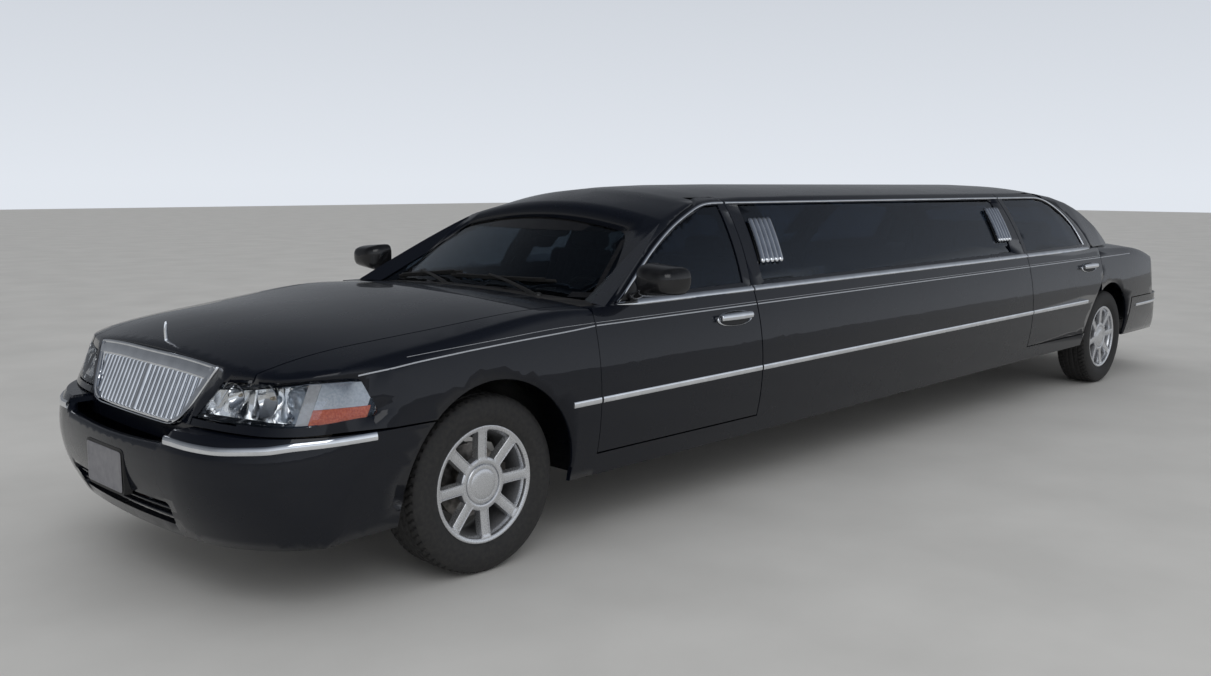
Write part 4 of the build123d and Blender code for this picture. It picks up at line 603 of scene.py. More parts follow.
# Headlamps: a clear polycarbonate lens flush with the fender, a chromed housing behind it with two deep round bowls
# and their bulbs, a smooth round fog unit, a white divider and a side signal, clear above and amber-red below.
lamp_chrome = surface("lamp_reflector", (0.84, 0.86, 0.88), (0.95, 0.96, 0.97), 30.0, (0.05, 0.16), 0.0, 1.0)
lamp_white = surface("lamp_divider", (0.62, 0.64, 0.66), (0.74, 0.76, 0.78), 90.0, (0.3, 0.45), 0.05)
signal_red = surface("signal_amber_red", (0.72, 0.12, 0.045), (0.92, 0.24, 0.10), 160.0, (0.12, 0.3), 0.3)
signal_clear = surface("signal_clear", (0.56, 0.64, 0.74), (0.76, 0.83, 0.92), 120.0, (0.08, 0.2), 0.3, 0.4)
lens_clear = tinted("lens_polycarbonate", (0.98, 0.99, 1.0), (0.0, 0.01))
bulb_glass = surface("bulb_glass", (0.55, 0.42, 0.25), (0.80, 0.74, 0.62), 50.0, (0.05, 0.15), 0.0, 0.5)

polish("headlamps", lens_clear)
lamp_plan = plan_run([(0.948, 0.440), (0.9257, 0.6025), (0.880, 0.760), (0.8104, 0.8611), (0.700, 0.915),
                      (0.5637, 0.9477), (0.430, 0.990)], 241)
lamp_out = np.gradient(lamp_plan, axis=0)
lamp_out = np.stack([lamp_out[:, 1], -lamp_out[:, 0]], -1) / np.linalg.norm(lamp_out, axis=1)[:, None]


def behind_lens(first, last, low, high, loop, side, count=40):
    """A closed block following the nose round its corner, which leans back above z .655: each point of the section
    loop is a share of the height between two curves and a depth behind the painted surface."""
    at = np.linspace(first, last, count)
    rows = np.arange(len(lamp_plan))
    place = np.stack([np.interp(at, rows, lamp_plan[:, k]) for k in (0, 1)], -1)
    out = np.stack([np.interp(at, rows, lamp_out[:, k]) for k in (0, 1)], -1)
    low, high = (np.asarray(edge(place)) * np.ones(count) for edge in (low, high))
    share, depth = np.array(loop).T
    z = low[:, None] + (high - low)[:, None] * share
    flat = place[:, None] - depth[:, None] * out[:, None]
    x = flat[..., 0] - nose_slope * (z - slope_foot)
    return closed_tube(np.stack([x, side * flat[..., 1], z], -1))


def lens_top(place):
    """The lens's upper edge: level over the corner, dropping to the grille and slanting down at its inner end."""
    from_axle = place[:, 0] - front_axle - 0.065
    corner = 0.8255 - 0.22 * np.maximum(from_axle - 0.745, 0) - 0.6 * np.maximum(from_axle - 0.80, 0) ** 1.5
    return np.minimum(corner, 0.6945 + (place[:, 1] - 0.470) / 0.667)


def level(z):
    """An edge that keeps to one height."""
    return lambda place: np.full(len(place), z)


def plan_row(x=None, y=None):
    """The row of the corner's plan points that stands at a distance from the front axle, or at a half width."""
    if y is not None:
        return float(np.interp(y, lamp_plan[:, 1], np.arange(len(lamp_plan))))
    return float(np.interp(-(front_axle + x), -lamp_plan[:, 0], np.arange(len(lamp_plan))))


tray = [(0.0, 0.006), (0.03, 0.030), (0.14, 0.056), (0.32, 0.066), (0.5, 0.069), (0.68, 0.066), (0.86, 0.056),
        (0.97, 0.030), (1.0, 0.006), (1.015, 0.0075), (0.99, 0.033), (0.87, 0.060), (0.5, 0.074), (0.13, 0.060),
        (0.01, 0.033), (-0.015, 0.0075)]
slab = [(0.0, 0.006), (0.0, 0.014), (1.0, 0.014), (1.0, 0.006), (0.75, 0.0055), (0.25, 0.0055)]
deep_slab = [(0.0, 0.0065), (0.0, 0.060), (1.0, 0.060), (1.0, 0.0065), (0.5, 0.0060)]
bowls = ((0.853, 0.614, 0.7620, 0.0455, 0.050), (0.806, 0.738, 0.7640, 0.0555, 0.055))  # place, radius and depth
fog_dome = [(-0.030, 0.0), (-0.030, 0.046), (-0.004, 0.0465), (0.0, 0.0455), (-0.001, 0.0435), (0.0035, 0.040),
            (0.009, 0.030), (0.0125, 0.015), (0.0135, 0.0)]
ring_turn = round_turn(64)
lens_foot, split = 0.6935, 0.7425  # the lens's level lower edge, and the height where the red signal meets the clear


def facing_ahead(place, side, profile, turn):
    """A profile of (distance ahead, radius) turned about a level line that runs ahead through a place."""
    x, y, z = place
    ahead, radius = np.array(profile).T
    turn = turn[:, None]
    return np.stack(np.broadcast_arrays(front_axle + x + ahead, side * y + radius * np.sin(turn),
                                        z + radius * np.cos(turn)), -1)


for side, hand in sides:
    lamp = f"{hand}_headlamp"

    def lamp_block(first, last, low, high, loop, count=40):
        """A block behind this side's lens between two rows of the plan."""
        return behind_lens(plan_row(**first), plan_row(**last), low, high, loop, side, count)

    piece(f"{lamp}_housing", [lamp_block({"y": 0.478}, {"x": 0.625}, level(lens_foot), lens_top, tray, 90)],
          lamp_chrome, "car", 0.8)
    reflectors, bulbs = [], []
    for x, y, z, radius, depth in bowls:
        r = np.linspace(0, radius, 14)
        dish = -depth * (1 - (r / radius) ** 2)
        lip = [(0.0015, radius + 0.001), (0.0, radius + 0.003), (-0.004, radius + 0.0028)]
        bowl = np.concatenate([np.stack([dish, r], -1), lip, np.stack([dish - 0.004, r], -1)[::-1]])
        reflectors.append((facing_ahead((x, y, z), side, bowl, ring_turn), True, False))
        bulb = [(-depth + 0.004, 0.0), (-depth + 0.004, 0.007), (-depth + 0.012, 0.0068), (-0.026, 0.0066),
                (-0.018, 0.0052), (-0.0135, 0.0030), (-0.012, 0.0)]
        bulbs.append((facing_ahead((x, y, z), side, bulb, ring_turn[::2]), True, False))
    piece(f"{lamp}_bowls", reflectors, lamp_chrome, "car", 0.7)
    piece(f"{lamp}_bulbs", bulbs, bulb_glass, "car", 0.9)
    piece(f"{lamp}_fog_unit", [(facing_ahead((0.749, 0.811, 0.7540), side, fog_dome, ring_turn), True, False)],
          signal_clear, "car", 0.6)
    piece(f"{lamp}_divider", [lamp_block({"x": 0.802}, {"x": 0.766}, level(lens_foot), lens_top, deep_slab, 12)],
          lamp_white, "car", 0.5)
    piece(f"{lamp}_signal_clear", [lamp_block({"x": 0.7655}, {"x": 0.585}, level(split), lens_top, slab)],
          signal_clear, "car", 0.5)
    piece(f"{lamp}_signal_red", [lamp_block({"x": 0.7655}, {"x": 0.574}, level(lens_foot), level(split - 0.001), slab)],
          signal_red, "car", 0.5)


# Stripes: two hair lines of silver tape, a thick one below a thin one, drawn along the shoulder from the headlamp to
# the tail. They are cut at every door gap, and on the fender the thin one runs further above.
stripe_silver = surface("stripe_silver", (0.42, 0.43, 0.45), (0.56, 0.57, 0.59), 300.0, (0.25, 0.4), 0.0, 0.8)
thick, thin = 0.0055, 0.0020
thick_fender = [(3.7540, 0.9247, 0.8470), (3.7000, 0.9372, 0.8540), (3.6300, 0.9518, 0.8620), (3.5590, 0.9528, 0.8690),
                (3.4300, 0.9543, 0.8790), (3.3080, 0.9537, 0.8870), (3.2000, 0.9530, 0.8930), (3.1040, 0.9520, 0.8980),
                (2.9500, 0.9506, 0.9050), (2.8330, 0.9495, 0.9100), (2.7000, 0.9480, 0.9170), (2.6340, 0.9471, 0.9215)]
thin_fender = [(3.5600, 0.9365, 0.8920), (3.4880, 0.9405, 0.8970), (3.3600, 0.9461, 0.9045), (3.2370, 0.9480, 0.9110),
               (3.0300, 0.9461, 0.9215), (2.8270, 0.9439, 0.9305), (2.7000, 0.9435, 0.9325), (2.6340, 0.9432, 0.9335)]
thick_quarter = [(-2.6920, 0.9458, 0.9621), (-2.8000, 0.9442, 0.9629), (-2.9500, 0.9422, 0.9641),
                 (-3.1000, 0.9401, 0.9653), (-3.3000, 0.9344, 0.9668)]
for side, hand in sides:
    lines = {}
    for part, start, end in (("front_door", front_lead, front_trail), ("stretch", front_trail, rear_lead),
                             ("rear_door", rear_lead, rear_trail)):
        x = np.linspace(start - half_shut, end + half_shut, int((start - end) * rows_a_metre))
        for rise, width in ((0.0, thick), (0.0115, thin)):
            path, out = on_side(x, along(0.922, 0.962, x) + rise, side, side_breadth)
            lines.setdefault(part, []).append(strip(path, out, width, 0.0004, 0.0, 0.0003))
    for part, points, width in (("fender", thick_fender, thick), ("fender", thin_fender, thin),
                                ("quarter", thick_quarter, thick)):
        path = curve_through(points, 70)
        slope = slope_up(path[:, 0], path[:, 2], side_breadth)
        out = np.stack([-np.gradient(path[:, 1], path[:, 0]), np.ones(70), -slope], -1)
        lines.setdefault(part, []).append(strip(path * (1, side, 1), out * (1, side, 1), width, 0.0006, 0.0009, 0.0006))
    for part, sheets in lines.items():
        piece(f"{hand}_{part}_stripes", sheets, stripe_silver, carrier(part, hand))

# Window trim: a thin rolled bead clipped over the window openings and a broader strip pressed over the shoulder
# below the glass, both chromed and cut at the door gaps.


def beside_glass(x, z):
    """Half width above the belt, which draws in behind the rear door."""
    return glasshouse_breadth(x, z, 0.0147 * np.clip((-2.0 - x) / 0.52, 0, 1) ** 2.5)


bead_lines = {
    "front_door": [(2.462, 1.0010), (2.42, 1.0245), (2.36, 1.0615), (2.30, 1.0980), (2.20, 1.1580), (2.10, 1.2120),
                   (2.00, 1.2600), (1.90, 1.3020), (1.80, 1.3380), (1.70, 1.3700), (1.61, 1.3935), (1.53, 1.4035),
                   (1.428, 1.4050)],
    "stretch": [(1.412, 1.4050), (0.50, 1.4050), (-0.50, 1.4050), (-1.572, 1.4050)],
    "rear_door": [(-1.588, 1.4050), (-1.90, 1.4050), (-2.10, 1.4045), (-2.20, 1.4010), (-2.29, 1.3865), (-2.36, 1.3570),
                  (-2.42, 1.3130), (-2.465, 1.2620), (-2.495, 1.2050), (-2.510, 1.1400), (-2.513, 1.0600)],
}
belt_front = 2.476
belt_spans = {"front_door": (belt_front, spans["front_door"][1]), "stretch": spans["stretch"],
              "rear_door": (spans["rear_door"][0], -2.523)}
for side, hand in sides:
    for part, line in bead_lines.items():
        x, z = curve_through(line, 120).T
        path, out = on_side(x, z, side, beside_glass)
        bead = strip(path, out, 0.0125, 0.0050)
        start, end = belt_spans[part]
        x = np.linspace(start, end, int((start - end) * 40))
        belt = belt_height(x)
        low = np.stack([x, side * side_breadth(x, belt - 0.009), belt - 0.009], -1)
        high = np.stack([x, side * beside_glass(x, belt + 0.013), belt + 0.013], -1)
        over = high - low
        out = np.stack([0 * x, side * over[:, 2], -side * over[:, 1]], -1)
        taper = 0.35 + 0.65 * np.clip((belt_front - x) / 0.14, 0, 1) ** 0.7
        shoulder_strip = strip((low + high) / 2, out, 0.032 * taper, 0.0100 * taper**0.5, 0.0, 0.003)
        piece(f"{hand}_{part}_window_trim", [bead, shoulder_strip], chrome, carrier(part, hand))

# Pillar ornaments: five chromed tubes with round ends, pinned side by side on the pillars at either end of the long
# side window. They stand parallel to the door gap beside them. The black plate behind them fills the gap to the glass,
# and its black is painted shadow round the tubes.


def bar_along(path, out, wide, deep):
    """A closed oval bar along a path: each ring's half width and half depth are given, the depth along `out`."""
    out, across = square_to(path, out)
    turn = round_turn(20)[:, None]
    wide, deep = (np.broadcast_to(value, len(path))[:, None, None] for value in (wide, deep))
    return closed_tube(path[:, None] + across * np.cos(turn) * wide + out * np.sin(turn) * deep)


def laid_on_side(side, breadth):
    """Lays points (x, z) of a side view on the side of the body, raised outwards."""
    return lambda flat, lift: on_side(*flat.T, side, breadth, lift)[0]


eased = 0.5 - 0.5 * np.cos(np.linspace(0, np.pi, 34))
to_end = np.minimum(eased, 1 - eased)
dome = np.sqrt(np.clip(1 - (1 - np.clip((to_end + 0.0012) / 0.066, 0, 1)) ** 2, 0, 1))
for side, hand in sides:
    for place, top, slant, high in (("front", 1.234, 0.070, 1.322), ("rear", -1.345, 0.078, 1.336)):
        tubes = []
        for number in range(-2, 3):
            x, z = top + 0.0375 * number + slant * eased, high - 0.212 * eased
            path, out = on_side(x, z, side, beside_glass, 0.0085)
            tubes.append(bar_along(path, out, 0.0150 * dome, 0.0135 * dome))
        piece(f"{hand}_{place}_pillar_tubes", tubes, chrome, "car", 1.2)
        flat = rounded([(top - 0.086, high - 0.012), (top + 0.086, high - 0.012), (top + slant + 0.086, high - 0.200),
                        (top + slant - 0.086, high - 0.200)], 0.008, 80)
        # The black plate is partly painted shadow: it stands in for the shade round the tubes.
        piece(f"{hand}_{place}_pillar_shadow_plate",
              [plate_on(flat, two_faces(-0.002, -0.009, 2), laid_on_side(side, beside_glass))], black_plastic, "car")

# Door handles: a chromed cast grip on two feet over a shallow black cup with a chromed rim, screwed through the door
# skin. The grip wraps the handle bar of the CAD door.
handle_places = {"front": (1.7335, 0.884), "rear": (-2.4245, 0.908)}
cup_steps = [(0, 0.0006), (0.3, 0.0006), (0.6, 0.0008), (0.82, 0.0014), (0.90, 0.0030), (0.94, 0.0038), (0.98, 0.0030),
             (1.0, 0.0010), (1.0, -0.002), (0.5, -0.002), (0, -0.002)]
rim_steps = [(0.885, 0.0028), (0.90, 0.0056), (0.93, 0.0070), (0.96, 0.0062), (0.99, 0.0030), (0.99, -0.001),
             (0.885, -0.001)]


def squared_oval(wide, high, powers, count):
    """A squared oval: the cosine and the sine of equal turns keep their signs and are raised to a power each."""
    turn = round_turn(count)
    return np.stack([size * np.sign(wave) * np.abs(wave) ** power for size, wave, power in
                     zip((wide, high), (np.cos(turn), np.sin(turn)), powers)], -1)


for side, hand in sides:
    skin = laid_on_side(side, side_breadth)
    for place, (centre_x, centre_z) in handle_places.items():
        body = f"{place}_{hand}_door"
        cup_middle = (centre_x - 0.010, centre_z - 0.006)
        cup = cup_middle + squared_oval(0.130, 0.035, (0.85, 0.9), 72)
        piece(f"{hand}_{place}_handle_cup", [plate_on(cup, cup_steps, skin, cup_middle)], black_plastic, body,
              0.9)
        piece(f"{hand}_{place}_handle_rim", [(plate_on(cup, rim_steps, skin, cup_middle), True, True)], chrome,
              body, 0.9)
        end_reach, end_close = np.array([0.109, 0.113, 0.1155, 0.1165]), [1.0, 0.92, 0.72, 0.45]
        reach = np.concatenate([-end_reach[::-1], np.linspace(-0.10, 0.10, 25), end_reach])
        close = np.concatenate([end_close[::-1], np.ones(25), end_close])
        x, arch = centre_x + reach, np.cos(reach / 0.11 * np.pi / 2)
        path, out = on_side(x, np.full_like(x, centre_z + 0.001), side, side_breadth)
        path = path + out * (0.0255 + 0.0015 * arch)[:, None]
        sheets = [bar_along(path, out, (0.0165 + 0.002 * arch) * close, 0.0125 * close)]
        for end in (-0.0955, 0.0955):
            height = np.array([-0.004, 0.0, 0.004, 0.010, 0.018, 0.026])
            spot, away = on_side(np.full(6, centre_x + end), np.full(6, centre_z), side, side_breadth)
            around = np.insert(squared_oval(0.0165, 0.0125, (0.5, 0.5), 28), 1, 0.0, axis=1)
            sheets.append(closed_tube((spot + height[:, None] * away)[:, None] + around))
        piece(f"{hand}_{place}_handle_grip", sheets, chrome, body, 0.8)

# Door mirrors: gloss black moulded pods with the glass set in their rear mouth, each on a short arm from a black
# triangular plate in the front corner of the door window.
mirror_silver = surface("mirror_silver", (0.66, 0.68, 0.70), (0.74, 0.76, 0.78), 3.0, (0.0, 0.03), 0.0, 1.0)
pod_black = surface("gloss_black_moulding", (0.006, 0.006, 0.007), (0.012, 0.012, 0.013), 40.0, (0.10, 0.22), 0.03)
pod_middle = (1.065, 1.098)
pod_edge = rounded([(0.946, 1.020), (1.168, 1.043), (1.180, 1.153), (0.942, 1.170)], [0.035, 0.045, 0.055, 0.050], 72)
pod_steps = [(0.0, 2.3205), (0.90, 2.3205), (0.925, 2.3080), (0.945, 2.3055), (0.970, 2.3050), (0.992, 2.3075),
             (1.0, 2.3150), (1.0, 2.3350), (0.975, 2.3600), (0.915, 2.3850), (0.830, 2.4050), (0.720, 2.4200),
             (0.590, 2.4290), (0.430, 2.4345), (0.240, 2.4370), (0.0, 2.4380)]
glass_steps = [(0.0, 2.3185), (0.5, 2.3180), (0.885, 2.3165), (0.893, 2.3180), (0.893, 2.3200), (0.0, 2.3200)]
arm_line = curve_through([(2.362, 0.888, 1.020), (2.366, 0.915, 1.022), (2.372, 0.950, 1.036),
                          (2.374, 0.990, 1.056)], 14)
for side, hand in sides:
    body = f"front_{hand}_door"

    def on_pod(flat, x):
        """Lays points (y, z) of a front view at a place along the car, swept back outwards."""
        swept = x - 0.9 * np.maximum(flat[:, 0] - 1.06, 0) ** 2
        return np.stack([swept, side * flat[:, 0], flat[:, 1]], -1)

    pod = piece(f"{hand}_mirror_pod", [plate_on(pod_edge, pod_steps, on_pod, pod_middle)], pod_black, body,
                0.9)
    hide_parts(f"{hand}_mirror")
    piece(f"{hand}_mirror_arm", [bar_along(arm_line * (1, side, 1), (0.0, -0.2 * side, 1.0), 0.036, 0.0165)],
          pod_black, body, 0.9)
    piece(f"{hand}_mirror_glass", [plate_on(pod_edge, glass_steps, on_pod, pod_middle)], mirror_silver, body,
          0.5)
    corner = rounded([(2.452, 1.0040), (2.314, 1.0840), (2.314, 1.0170)], [0.012, 0.010, 0.006], 60)
    corner_steps = [(0.0, 0.004), (0.93, 0.004), (0.98, 0.003), (1.0, 0.001), (1.0, -0.006), (0.0, -0.006)]
    piece(f"{hand}_mirror_plate", [plate_on(corner, corner_steps, laid_on_side(side, beside_glass))],
          black_plastic, body, 0.7)

# Wipers: painted steel arms, each on a pivot cap in the cowl, with a jointed carrier that presses a rubber blade on
# the screen. A black band is fired on to the screen's edge.
satin_black = surface("satin_black_paint", (0.010, 0.010, 0.010), (0.020, 0.020, 0.020), 90.0, (0.35, 0.5), 0.1)


def on_screen(y, z, proud):
    """Points on the windscreen: it leans 33 degrees and curves back in plan on a radius of 1.9 m."""
    return np.stack([2.572 - (z - 1.0) * 1.54 - y**2 / 3.8 + 0.545 * proud, y, z + 0.839 * proud], -1)


wipers = {"left": (0.52, (0.40, 1.062), (-0.18, 1.050)), "right": (-0.10, (-0.22, 1.072), (-0.70, 1.012))}
for name, (pivot_y, (near_y, near_z), (tip_y, tip_z)) in wipers.items():
    y = np.linspace(near_y + 0.09, tip_y, 40)
    z = np.interp(y, [tip_y, near_y + 0.09], [tip_z, near_z - 0.004])
    blade, carrier_bar = on_screen(y, z, 0.006), on_screen(y[3:-3], z[3:-3], 0.019)
    lean = (0.545, 0.0, 0.839)
    pivot = np.array([2.560, pivot_y, 1.012 - 0.012 * abs(pivot_y)])
    hold_y = (near_y + tip_y) / 2
    hold = on_screen(np.array([hold_y]), np.array([np.interp(hold_y, [tip_y, near_y], [tip_z, near_z])]), 0.026)[0]
    run = np.linspace(0, 1, 24)[:, None]
    arm = pivot + run * (hold - pivot) + np.sin(np.pi * run) * (0.006, 0, 0.010)
    wide = np.linspace(0.011, 0.0055, 24)
    turn = round_turn(24)
    knob = np.array([(0.017, -0.012), (0.017, 0.010), (0.014, 0.016), (0.006, 0.019)])
    cap = pivot + np.stack([knob[:, :1] * np.cos(turn), knob[:, :1] * np.sin(turn), np.repeat(knob[:, 1:], 24, 1)], -1)
    piece(f"{name}_wiper_arm", [bar_along(arm, lean, wide, 0.0045),
                                bar_along(carrier_bar, lean, 0.0045, 0.0035), closed_tube(cap)],
          satin_black, "car", 0.8)
    piece(f"{name}_wiper_blade", [bar_along(blade, lean, 0.0035, 0.0095)], rubber, "car", 0.8)

band = rounded([(-0.735, 1.005), (0.735, 1.005), (0.565, 1.3405), (-0.565, 1.3405)], [0.05, 0.05, 0.07, 0.07], 260)
band_width = 0.020 + 0.045 * np.clip((band[:, 1] - 1.30) / 0.03, 0, 1)
band_rings = [inwards(band, band_width * share) for share in (0.0, 0.0, 1.0, 1.0)]
band_sheet = np.stack([on_screen(ring[:, 0], ring[:, 1], lift) for ring, lift in
                       zip(band_rings, (-0.0005, 0.0007, 0.0007, -0.0005))])
piece("screen_band", [(band_sheet, True, True)], pod_black, "car", 0.5)

# Interior mirror: a small black pod hung from the top of the screen on a ball-jointed stalk, its silvered glass
# turned to the driver.
inner_pod = (0.0, 1.262) + squared_oval(0.115, 0.032, (0.75, 0.75), 40)
at_place = upright(lambda y, z, x: x + 0 * y)
inner_steps = [(0.0, 1.978), (0.95, 1.978), (0.97, 1.976), (1.0, 1.978), (0.98, 1.996), (0.75, 2.008), (0.0, 2.012)]
inner_glass_steps = [(0.0, 1.9772), (0.93, 1.9772), (0.93, 1.9784), (0.0, 1.9784)]
stalk = curve_through([(2.006, 0.0, 1.270), (2.025, 0.0, 1.295), (2.045, 0.0, 1.312), (2.062, 0.0, 1.318)], 12)
piece("interior_mirror_pod", [plate_on(inner_pod, inner_steps, at_place),
                              bar_along(stalk, (0.0, 1.0, 0.0), 0.008, 0.008)], black_plastic, "car", 0.8)
piece("interior_mirror_glass", [plate_on(inner_pod, inner_glass_steps, at_place)], mirror_silver, "car", 0.5)

# Tail: red moulded lamps let into the corners, fluted on their face, with silvered reflectors behind, a chrome bar
# across the boot lid, a blank plate on a black bracket above it and a chrome strip pressed round the bumper.


def tail_x(y, z):
    """Place of the boot's rear face: curved in plan, leaning forward a quarter of its height."""
    across = (0, 0.1, 0.2, 0.3, 0.4, 0.5, 0.6, 0.65, 0.7, 0.75, 0.8, 0.83, 0.87)
    back = (-4.213, -4.212, -4.209, -4.204, -4.197, -4.188, -4.167, -4.150, -4.130, -4.105, -4.069, -4.039, -3.981)
    return np.interp(np.abs(y), across, back) + 0.2333 * (z - 0.66)


tail_out = np.array([-0.974, 0.0, 0.227])


def on_tail(flat, lift):
    """Points (y, z) of a rear view laid on the boot's face, raised backwards."""
    return np.insert(flat, 0, tail_x(*flat.T), axis=1) + lift * tail_out


def level_line(start, end, height, count):
    """Points of a flat view at equal steps along a level line."""
    return np.stack([np.linspace(start, end, count), np.full(count, height)], -1)


tail_lens = tinted("tail_lens_red", (0.50, 0.012, 0.010), (0.03, 0.10), 0.06)
polish("tail_lamps", tail_lens)
reflector = surface("tail_reflector", (0.62, 0.60, 0.60), (0.82, 0.80, 0.80), 60.0, (0.08, 0.2), 0.1, 1.0)
for side, hand in sides:
    lamp = oblong((0.652, 0.668), (0.826, 0.900), [0.008, 0.014, 0.012, 0.008], 160) * (side, 1)
    ridges = plate_on(lamp, [(0, -0.020), (0.25, -0.016), (0.3, -0.020), (0.5, -0.016), (0.55, -0.020), (0.72, -0.015),
                             (0.76, -0.018), (0.92, -0.012), (0.99, -0.006), (0.99, -0.026), (0, -0.026)], on_tail)
    piece(f"{hand}_tail_reflector", [ridges], reflector, "car", 0.4)
    flutes = list(zip(np.linspace(0, 0.93, 24), 0.0034 + 0.0006 * (np.arange(24) % 2)))
    flutes += [(0.97, 0.0022), (1.0, -0.001), (0, -0.001)]
    piece(f"{hand}_tail_lens_flutes", [plate_on(lamp, flutes, on_tail)], tail_lens, "car", 0.9)
    bezel_steps = ((-0.006, -0.001), (-0.006, 0.0025), (-0.002, 0.0048), (0.003, 0.0045), (0.006, 0.002),
                   (0.006, -0.001))
    bezel = np.stack([on_tail(inwards(lamp, width), lift) for width, lift in bezel_steps])
    bars = []
    for z in (0.735, 0.742, 0.810, 0.817):
        path = on_tail(level_line(side * 0.655, side * 0.823, z, 30), 0.0)
        bars.append(strip(path, tail_out, 0.0035, 0.0022, 0.0034))
    piece(f"{hand}_tail_bezel", [(bezel, True, True)] + bars, chrome, "car", 0.9)

boot_bar = strip(on_tail(level_line(-0.615, 0.615, 0.712, 90), 0.0), tail_out, 0.030, 0.0075, 0.0, 0.002)
disc = (0.0, 0.884) + squared_oval(0.015, 0.015, (1, 1), 40)
lock_steps = [(0, 0.002), (0.25, 0.002), (0.3, 0.004), (0.7, 0.005), (0.92, 0.004), (1.0, 0.001), (1.0, -0.002),
              (0, -0.002)]
piece("boot_chrome_bar", [boot_bar, plate_on(disc, lock_steps, on_tail)], chrome, "boot_lid", 0.9)
rear_plate = oblong((-plate_half, 0.740), (plate_half, 0.858), 0.010, 96)
bracket_steps = [(0, 0.003), (0.96, 0.003), (1.0, 0.001), (1.0, -0.003), (0, -0.003)]
piece("rear_plate_bracket", [plate_on(inwards(rear_plate, -0.012), bracket_steps, on_tail)], black_plastic,
      "boot_lid", 0.5)
plate_steps = [(0, 0.0045), (0.88, 0.0045), (0.92, 0.0058), (0.96, 0.0058), (1.0, 0.004), (1.0, 0.0025), (0, 0.0025)]
piece("rear_blank_plate", [plate_on(rear_plate, plate_steps, on_tail)], plate_grey, "boot_lid", 0.6)
half = [(-3.400, 0.9703), (-3.600, 0.9618), (-3.800, 0.9502), (-3.950, 0.9217), (-4.050, 0.8828), (-4.120, 0.8192),
        (-4.180, 0.6989), (-4.2308, 0.500), (-4.2487, 0.300)]
round_plan = curve_through(half + [(-4.2583, 0.0)] + [(x, -y) for x, y in half[::-1]], 320)
ahead = np.gradient(round_plan, axis=0)
away = np.stack([ahead[:, 1], -ahead[:, 0], np.zeros(320)], -1)
piece("rear_bumper_strip", [strip(np.column_stack([round_plan, np.full(320, 0.556)]), away, 0.022, 0.0065, 0.0,
                                  0.004)], chrome, "car", 0.9)
tail_pipe = np.array([(0.10, 0.0290), (0.004, 0.0290), (0.0, 0.0305), (0.0005, 0.0325), (0.006, 0.0330),
                      (0.10, 0.0330)])
pipe_turn = round_turn(48)
pipe = np.stack([np.broadcast_to(-4.172 + tail_pipe[:, :1], (6, 48)), -0.25 + tail_pipe[:, 1:] * np.cos(pipe_turn),
                 0.27 + tail_pipe[:, 1:] * np.sin(pipe_turn)], -1)
piece("exhaust_tip", [(pipe, True, True)], chrome, "car", 0.9)

# Cushioned seating: foam pads covered in black leather, sewn in channels and stretched tight, on moulded plinths.
# The front pair is bolted to the floor; behind the partition stand a rear bench and a long one along the right wall.
channel_depth, channel_width = 0.0085, 0.0065


def cushion(middle, length_axis, width_axis, size, crown, rows, across=(), along_it=()):
    """A stuffed block: a rounded section carried along its length, domed ends, a crowned top cut by sewn channels.

    The sides pull in a little between the corners; `across` and `along_it` give the places of the channels.
    """
    length, width, thick = size
    section = oblong((-width / 2, -thick / 2), (width / 2, thick / 2), thick * 0.46, 120)
    p = np.linspace(-1, 1, rows)
    p = (length / 2 * np.sign(p) * (1 - (1 - np.abs(p)) ** 1.15))[:, None]
    b, c = (np.broadcast_to(edge, (rows, 120)) for edge in section.T)
    end_radius = min(0.045, thick * 0.45)
    fall = 1 - np.sqrt(1 - (1 - np.clip((length / 2 - np.abs(p)) / end_radius, 0, 1)) ** 2)
    mid_length, mid_width = np.cos(np.pi * p / length), np.cos(np.pi * b / width)
    top = np.clip(c / (thick / 2), 0, 1)
    domed = np.clip(mid_length, 0, 1) ** 0.5 * np.clip(mid_width, 0, 1) ** 0.5
    height = c * (1 - fall * end_radius / (thick / 2)) + top * crown * domed
    height = height + 0.0012 * top * np.sin(37 * p + 9 * b) * np.sin(31 * b - 13 * p + 1)
    edge = np.clip(mid_width * 3, 0, 1) * np.clip((length / 2 - np.abs(p)) / 0.05, 0, 1)
    for place, where in [(place, p) for place in across] + [(place, b) for place in along_it]:
        height = height - channel_depth * top * edge * np.exp(-((where - place) / channel_width) ** 2)
    seam = 0.0022 * np.exp(-((c - thick * 0.2) / 0.005) ** 2) * (np.abs(b) > width * 0.47)
    sideways = b * (1 - fall * end_radius / (width / 2)) * (1 - 0.014 * mid_length) - np.sign(b) * seam
    length_axis, width_axis = np.asarray(length_axis, float), np.asarray(width_axis, float)
    up = np.cross(length_axis, width_axis)
    return closed_tube(np.asarray(middle) + (p + 0 * b)[..., None] * length_axis + sideways[..., None] * width_axis
                       + height[..., None] * up)


def block(low, high, reach):
    """A plinth with rounded upright corners and eased top and bottom edges."""
    (x0, y0, z0), (x1, y1, z1) = low, high
    steps = ((0, z0), (0.985, z0), (1, z0 + 0.004), (1, z1 - 0.006), (0.98, z1), (0, z1))
    return plate_on(oblong((x0, y0), (x1, y1), reach, 96), steps, lambda flat, z: np.insert(flat, 2, z, axis=1))


def leaning(degrees):
    """The way up a backrest that leans back."""
    return np.array([-np.sin(np.radians(degrees)), 0.0, np.cos(np.radians(degrees))])


